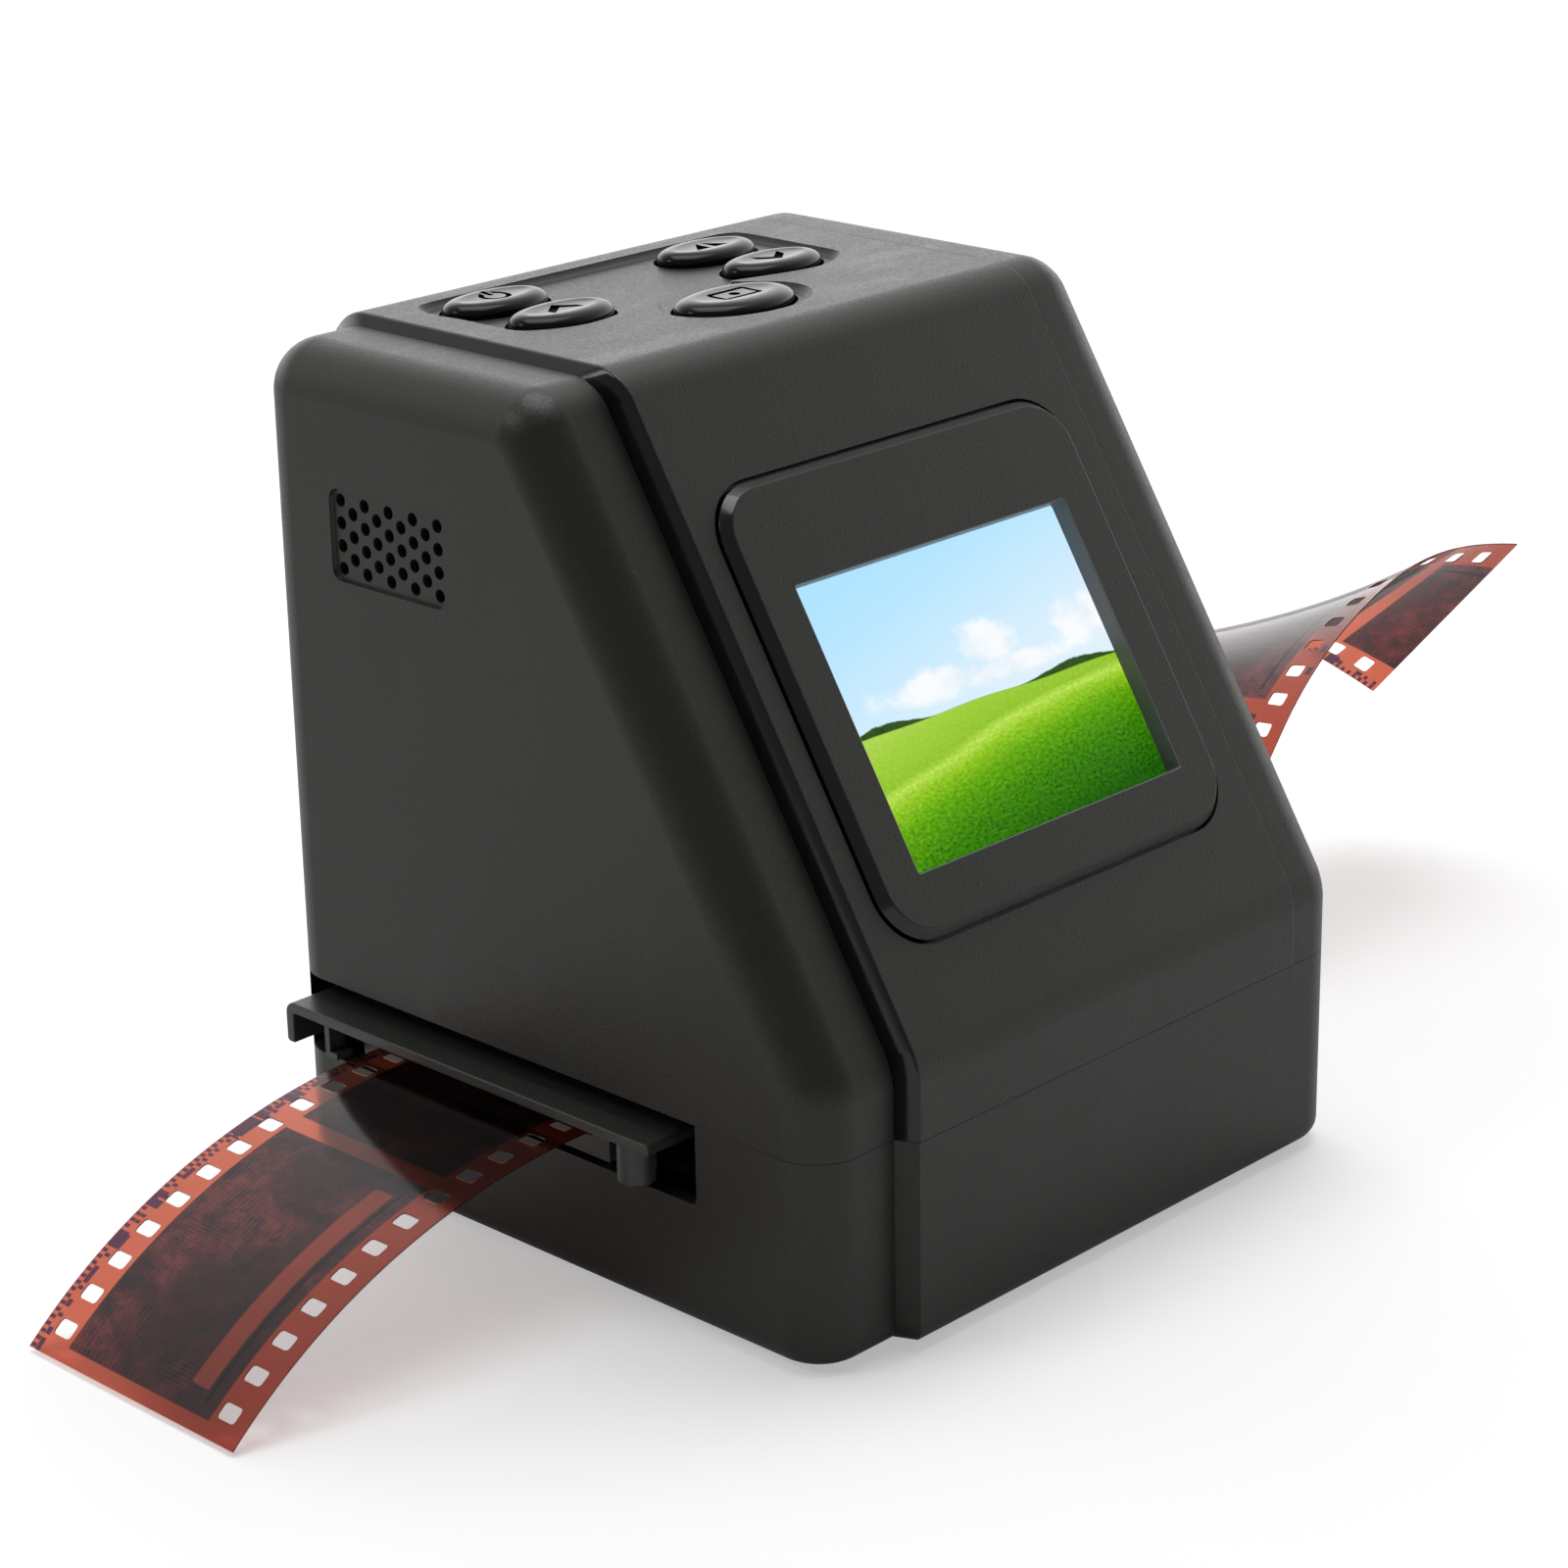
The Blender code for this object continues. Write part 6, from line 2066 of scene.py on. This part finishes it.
@dataclass
class Film:
    """The strip of negatives, bent as it lies, with its sprocket holes cut through."""

    width: float = 0.035
    thickness: float = 0.00015
    middle_y: float = 0.0131
    level: float = 0.019
    pitch: float = 0.00475
    hole_length: float = 0.00198
    hole_width: float = 0.00279
    margin: float = 0.00201
    left_start: float = 0.00505
    right_start: float = 0.00052
    end_margin: float = 0.0006
    left_tail: float = 0.056
    left_span: float = 0.019
    left_bends: tuple[float, ...] = (0.198, 0.234, 0.270, 0.306)
    right_tail: float = 0.09448
    straight: float = 0.010
    right_span: float = 0.017
    right_bends: tuple[float, ...] = (0.0, 0.811, -0.376, -0.320, -0.608, -0.176)
    right_twists: tuple[float, ...] = (0.0, -0.027, -0.212, -0.205, -0.321, -0.364)
    step: float = 0.0005
    corner: float = 0.00042
    corner_draw: float = 0.29
    cell: float = 0.0009

    def holes(self) -> list[float]:
        """Where the middle of each sprocket hole lies along the strip.

        Returns:
            The places, from left to right.
        """
        first, last = FORM.left - self.left_start, FORM.right + self.right_start
        count = round((last - first) / self.pitch)
        places = [first + (last - first) * number / count for number in range(1, count)]
        margin = self.hole_length / 2 + self.end_margin
        while first > FORM.left - self.left_tail + margin:
            places.append(first)
            first -= self.pitch
        while last < FORM.right + self.right_tail - margin:
            places.append(last)
            last += self.pitch
        return sorted(places)

    def turn_rate(self, shares: Sequence[float], place: float, span: float) -> float:
        """How fast a tail turns at a place along it.

        Args:
            shares: Its turn in each span.
            place: The place.
            span: Length of one span.

        Returns:
            The turn for each metre.
        """
        if place <= 0:
            return 0
        number = min(int(place / span), len(shares) - 2)
        part = place / span - number
        return (shares[number] * (1 - part) + shares[number + 1] * part) / span

    def tail(self, side: int, stations: Sequence[float]) -> list[tuple[Vector, Vector]]:
        """Follows one tail out of the case.

        Args:
            side: -1 for the left tail, 1 for the right one.
            stations: Distances from the case's side, growing.

        Returns:
            The strip's middle and its cross direction at each station.
        """
        if side < 0:
            straight, span, bends = 0.0, self.left_span, self.left_bends
            twists: Sequence[float] = [0.0] * len(bends)
        else:
            straight, span, bends = self.straight, self.right_span, self.right_bends
            twists = self.right_twists
        middle = Vector((side * FORM.right, self.middle_y, self.level))
        along, across = Vector((side, 0, 0)), Vector((0, 1, 0))
        at = 0.0
        found = []
        for station in stations:
            steps = max(1, math.ceil((station - at) / self.step))
            length = (station - at) / steps
            for number in range(steps):
                place = at + length * (number + 0.5) - straight
                bend = self.turn_rate(bends, place, span)
                twist = self.turn_rate(twists, place, span)
                turn = (along * twist - across * bend) * length
                spin = Matrix.Rotation(turn.length, 3, turn) if turn.length else Matrix.Identity(3)
                ahead = spin @ along
                middle = middle + (along + ahead) * (length / 2)
                along, across = ahead, spin @ across
            at = station
            found.append((middle.copy(), across.copy()))
        return found

    def lines(self) -> tuple[list[float], list[float], set[int], set[int]]:
        """The grid of the flat strip.

        Returns:
            Places along and across it, and which cells of each are holes.
        """
        along = [FORM.left - self.left_tail]
        columns = set()
        for place in self.holes():
            start, stop = place - self.hole_length / 2, place + self.hole_length / 2
            room = start - along[-1]
            parts = max(1, round(room / self.cell))
            along += [along[-1] + room * (number + 1) / parts for number in range(parts)]
            columns |= {len(along) - 1, len(along), len(along) + 1}
            along += [start + self.corner, stop - self.corner, stop]
        last = FORM.right + self.right_tail
        along += [along[-1] + (last - along[-1]) * (number + 1) / 2 for number in range(2)]
        half = self.width / 2
        edge = half - self.margin
        inner = edge - self.hole_width
        middle = [-inner + 2 * inner * number / 10 for number in range(11)]
        rear = [inner + self.corner, edge - self.corner, edge, half]
        across = [-line for line in reversed(rear)] + middle + rear
        last_cell = len(across) - 2
        return along, across, columns, {1, 2, 3, last_cell - 3, last_cell - 2, last_cell - 1}

    def build(self) -> None:
        """The strip, drawn flat, holed, bent into place and given its thickness."""
        along, across, hole_columns, hole_rows = self.lines()
        shape = bmesh.new()
        columns, rows = len(along) - 1, len(across) - 1
        bmesh.ops.create_grid(shape, x_segments=columns, y_segments=rows, size=1)
        cells = []
        for face in shape.faces:
            middle = face.calc_center_median()
            column = int((middle.x + 1) / 2 * columns)
            row = int((middle.y + 1) / 2 * rows)
            if column in hole_columns and row in hole_rows:
                cells.append(face)
        bmesh.ops.delete(shape, geom=cells, context="FACES")
        for vert in shape.verts:
            column = round((vert.co.x + 1) / 2 * columns)
            row = round((vert.co.y + 1) / 2 * rows)
            vert.co = (along[column], across[row], 0)
        self.round_corners(shape)
        self.bend(shape)
        face_out(shape)
        if sum(face.normal.z for face in shape.faces) < 0:
            bmesh.ops.reverse_faces(shape, faces=shape.faces)
        shape.transform(Matrix.Translation(FORM.origin))
        thing = bare_object("negative_strip", shape)
        thing.data.materials.append(Finishes.film.material())
        wall = thing.modifiers.new("thickness", "SOLIDIFY")
        wall.thickness = self.thickness
        wall.offset = 0
        mesh = evaluated_mesh(thing)
        thing.modifiers.clear()
        thing.data = mesh
        mesh.shade_smooth()
        mesh.set_sharp_from_angle(angle=math.radians(50))
        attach(thing, FILM_BODY)
        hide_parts("film_strip")
        LOG.info("negative_strip: %d faces", len(mesh.polygons))

    def round_corners(self, shape: Shape) -> None:
        """Rounds the corners of the sprocket holes, each by drawing it in between its neighbours.

        Args:
            shape: The flat strip.
        """
        half = self.width / 2 - WELD
        ends = {FORM.left - self.left_tail, FORM.right + self.right_tail}
        moves = []
        for vert in shape.verts:
            sides = [
                edge.other_vert(vert).co - vert.co for edge in vert.link_edges if edge.is_boundary
            ]
            from_end = min(abs(vert.co.x - end) for end in ends)
            if len(sides) != 2 or abs(vert.co.y) > half or from_end < WELD:
                continue
            one, other = (side.normalized() for side in sides)
            if abs(one.dot(other)) < 0.5:
                moves.append((vert, (one + other) * self.corner * self.corner_draw))
        strip = shape.loops.layers.uv.new("strip")
        for vert, move in moves:
            vert.co += move
        for face in shape.faces:
            for loop in face.loops:
                loop[strip].uv = loop.vert.co.xy

    def bend(self, shape: Shape) -> None:
        """Lays the flat strip along its real course.

        Args:
            shape: The strip.
        """
        stations = sorted({round(vert.co.x, 9) for vert in shape.verts})
        left = [FORM.left - place for place in stations if place < FORM.left][::-1]
        right = [place - FORM.right for place in stations if place > FORM.right]
        course = {}
        for distance, found in zip(left, self.tail(-1, left)):
            course[round(FORM.left - distance, 9)] = found
        for distance, found in zip(right, self.tail(1, right)):
            course[round(FORM.right + distance, 9)] = found
        for vert in shape.verts:
            place = round(vert.co.x, 9)
            if place in course:
                middle, across = course[place]
            else:
                middle, across = Vector((place, self.middle_y, self.level)), Vector((0, 1, 0))
            vert.co = middle + across * vert.co.y


@dataclass
class Feet:
    """Four rubber feet."""

    radius: float = 0.0042
    x: float = 0.029
    front: float = -0.033
    rear: float = 0.0385
    height: float = 0.0012

    def build(self) -> None:
        """Each foot as a low disc with a rounded rim and a dished sole."""
        wide, high = self.radius, self.height
        profile = [(0, 0.0002), (wide - 0.0012, 0.0001), (wide - 0.0006, 0)]
        profile += [(wide - 0.0002, 0.0001), (wide, 0.0004), (wide, high), (0, high)]
        for side, x in (("left", -self.x), ("right", self.x)):
            for end, y in (("front", self.front), ("rear", self.rear)):
                shape = lathe(profile, 48, Matrix.Translation((x, y, 0)))
                name = f"{end}_{side}"
                role = on_case("rubber", f"foot_{name}")
                present(f"pad_{name}", shape, Finishes.rubber, role)


class Insides:
    """Finishes for the frame's own pieces inside the case, by the first kind that fits a name."""

    FINISHES: dict[str, Finish] = {
        "screw": Finishes.steel,
        "pin": Finishes.steel,
        "barrel": Finishes.anodised,
        "holder": Finishes.inner,
        "led": Finishes.lamp,
        "housing": Finishes.white,
        "diffuser": Finishes.opal,
        "deck": Finishes.inner,
        "chamber": Finishes.inner,
        "switch": Finishes.inner,
        "plunger": Finishes.inner,
        "speaker": Finishes.anodised,
        "socket": Finishes.shell,
        "board": Finishes.board,
        "bed": Finishes.carrier,
        "lens": Finishes.lens,
        "sensor": Finishes.chip,
    }

    def dress(self) -> None:
        """Gives every shown node of the frame the finish of its kind."""
        for name, node in sorted(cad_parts.items()):
            if node.hide_render:
                continue
            words = name.split("_")
            finish = next(look for kind, look in self.FINISHES.items() if kind in words)
            if not node.material_slots:
                node.data.materials.append(finish.material())
            for slot in node.material_slots:
                slot.material = finish.material()
            LOG.info("%s: %s", name, finish.name)


# Studio --------------------------------------------------------------------------------


@dataclass
class Studio:
    """Floor, soft lamps, world and the camera at the photograph's angle."""

    azimuth: float = -46.01
    elevation: float = 19.96
    roll: float = -1.04
    distance: float = 0.46664
    aside: float = -0.00475
    lift: float = -0.00281
    focus: float = 0.05
    lens: float = 92.163
    floor_size: float = 3.0
    mirrored: float = 0.2
    dim: float = 0.05
    bright: float = 2.1
    ceiling: float = 0.42
    floor_shade: float = 0.78
    floor_lift: float = 0.42
    aim: tuple[float, float, float] = (0.0, 0.0, 0.04)
    away: tuple[float, float, float] = (0.719, 0.695, 0.0)
    sides: Point = (-0.36, 0.90)
    heights: Point = (0.30, 0.66)
    lamps: tuple[tuple[str, Colour, float, float], ...] = (
        ("top_light", (0.2, 0.2, 1.5), 1.0, 9.5), ("left_light", (-0.95, 0.5, 1.1), 0.4, 2.3)
    )

    def camera(self) -> None:
        """The camera, fitted to the photograph's edges."""
        angles = (self.azimuth, self.elevation, self.roll)
        azimuth, elevation, roll = (math.radians(angle) for angle in angles)
        flat = Vector((math.cos(azimuth), math.sin(azimuth), 0))
        level = Vector((flat.y, -flat.x, 0)) * math.cos(elevation)
        back = level + Vector((0, 0, math.sin(elevation)))
        up = back.cross(flat)
        right = math.cos(roll) * flat + math.sin(roll) * up
        over = -math.sin(roll) * flat + math.cos(roll) * up
        eye = FORM.origin + Vector((0, 0, self.focus))
        eye += self.aside * right + self.lift * over + self.distance * back
        data = bpy.data.cameras.new("camera")
        data.lens = self.lens
        data.sensor_width = 36.0
        data.clip_start = 0.01
        thing = bpy.data.objects.new("camera", data)
        thing.matrix_world = Matrix((
            (right.x, over.x, back.x, eye.x),
            (right.y, over.y, back.y, eye.y),
            (right.z, over.z, back.z, eye.z),
            (0, 0, 0, 1),
        ))
        bpy.context.scene.collection.objects.link(thing)
        bpy.context.scene.camera = thing

    def floor(self) -> None:
        """A wide pale floor, lifted to white for the camera so that only its shadows show."""
        shape = bmesh.new()
        bmesh.ops.create_grid(shape, x_segments=8, y_segments=8, size=self.floor_size)
        thing = bare_object("floor", shape)
        made = bpy.data.materials.new("floor_pale")
        made.use_nodes = True
        tree = Tree(made.node_tree)
        shader = made.node_tree.nodes["Principled BSDF"]
        shader.inputs["Base Color"].default_value = (*(self.floor_shade,) * 3, 1)
        shader.inputs["Roughness"].default_value = 0.9
        shader.inputs["Specular IOR Level"].default_value = 0.1
        shader.inputs["Emission Strength"].default_value = 1.0
        lifted = tree.blend(self.seen(tree), (0.0, 0.0, 0.0), (self.floor_lift,) * 3)
        tree.put(shader.inputs["Emission Color"], lifted)
        thing.data.materials.append(made)

    def seen(self, tree: Tree) -> Socket:
        """How much of the white background a ray shows.

        Args:
            tree: The tree of the floor or the world.

        Returns:
            1 straight on or through clear pieces, and the mirrored share for a reflection.
        """
        path = tree.node("LightPath")
        straight = tree.math(
            "MAXIMUM", path.outputs["Is Camera Ray"], path.outputs["Is Transmission Ray"]
        )
        mirrored = tree.math("MULTIPLY", path.outputs["Is Glossy Ray"], self.mirrored)
        return tree.math("MAXIMUM", straight, mirrored)

    def lamp(self, name: str, place: Vector, aim: Vector, size: float, power: float) -> None:
        """A square soft lamp.

        Args:
            name: Its name.
            place: Where it hangs.
            aim: What it points at.
            size: Its side.
            power: Its power, in watts.
        """
        data = bpy.data.lights.new(name, "AREA")
        data.shape = "SQUARE"
        data.size = size
        data.energy = power
        thing = bpy.data.objects.new(name, data)
        turn = (aim - place).to_track_quat("-Z", "Y").to_matrix().to_4x4()
        thing.matrix_world = Matrix.Translation(place) @ turn
        bpy.context.scene.collection.objects.link(thing)

    def world(self) -> None:
        """White behind the object, and dimmer towards the camera's side."""
        made = bpy.data.worlds.new("studio")
        made.use_nodes = True
        bpy.context.scene.world = made
        tree = Tree(made.node_tree)
        tree.tree.nodes.clear()
        away = tree.node("VectorMath", operation="DOT_PRODUCT")
        tree.put(away.inputs[0], tree.node("TexCoord").outputs["Generated"])
        away.inputs[1].default_value = self.away
        soft = tree.node("Background")
        soft.inputs["Color"].default_value = (1, 1, 1, 1)
        split = tree.node("SeparateXYZ")
        tree.put(split.inputs[0], tree.node("TexCoord").outputs["Generated"])
        low = tree.ramp(split.outputs[2], *self.heights, 1.0, self.ceiling)
        level = tree.ramp(away.outputs["Value"], *self.sides, self.dim, self.bright)
        tree.put(soft.inputs["Strength"], tree.math("MULTIPLY", level, low))
        white = tree.node("Background")
        white.inputs["Color"].default_value = (1, 1, 1, 1)
        white.inputs["Strength"].default_value = 1.0
        mix = tree.node("MixShader")
        tree.put(mix.inputs[0], self.seen(tree))
        tree.put(mix.inputs[1], soft.outputs[0])
        tree.put(mix.inputs[2], white.outputs[0])
        tree.put(tree.node("OutputWorld").inputs[0], mix.outputs[0])

    def build(self) -> None:
        """Sets the studio up round the object."""
        self.camera()
        self.floor()
        self.world()
        for name, place, size, power in self.lamps:
            self.lamp(name, Vector(place), Vector(self.aim), size, power)
        bpy.context.scene.view_settings.view_transform = "Standard"


def main() -> None:
    """Builds every piece in order."""
    logging.basicConfig(level=logging.INFO, format="%(name)s %(message)s")
    Effects.make()
    Studio().build()
    screen, buttons, casing = Screen(), Buttons(), Casing()
    casing.left()
    casing.right()
    casing.lower()
    casing.band([*screen.cutters(), *buttons.cutters()])
    screen.bezel()
    screen.pane()
    screen.panel()
    buttons.build()
    Carrier().build()
    Film().build()
    Feet().build()
    Insides().dress()


if __name__ == "__main__":
    main()
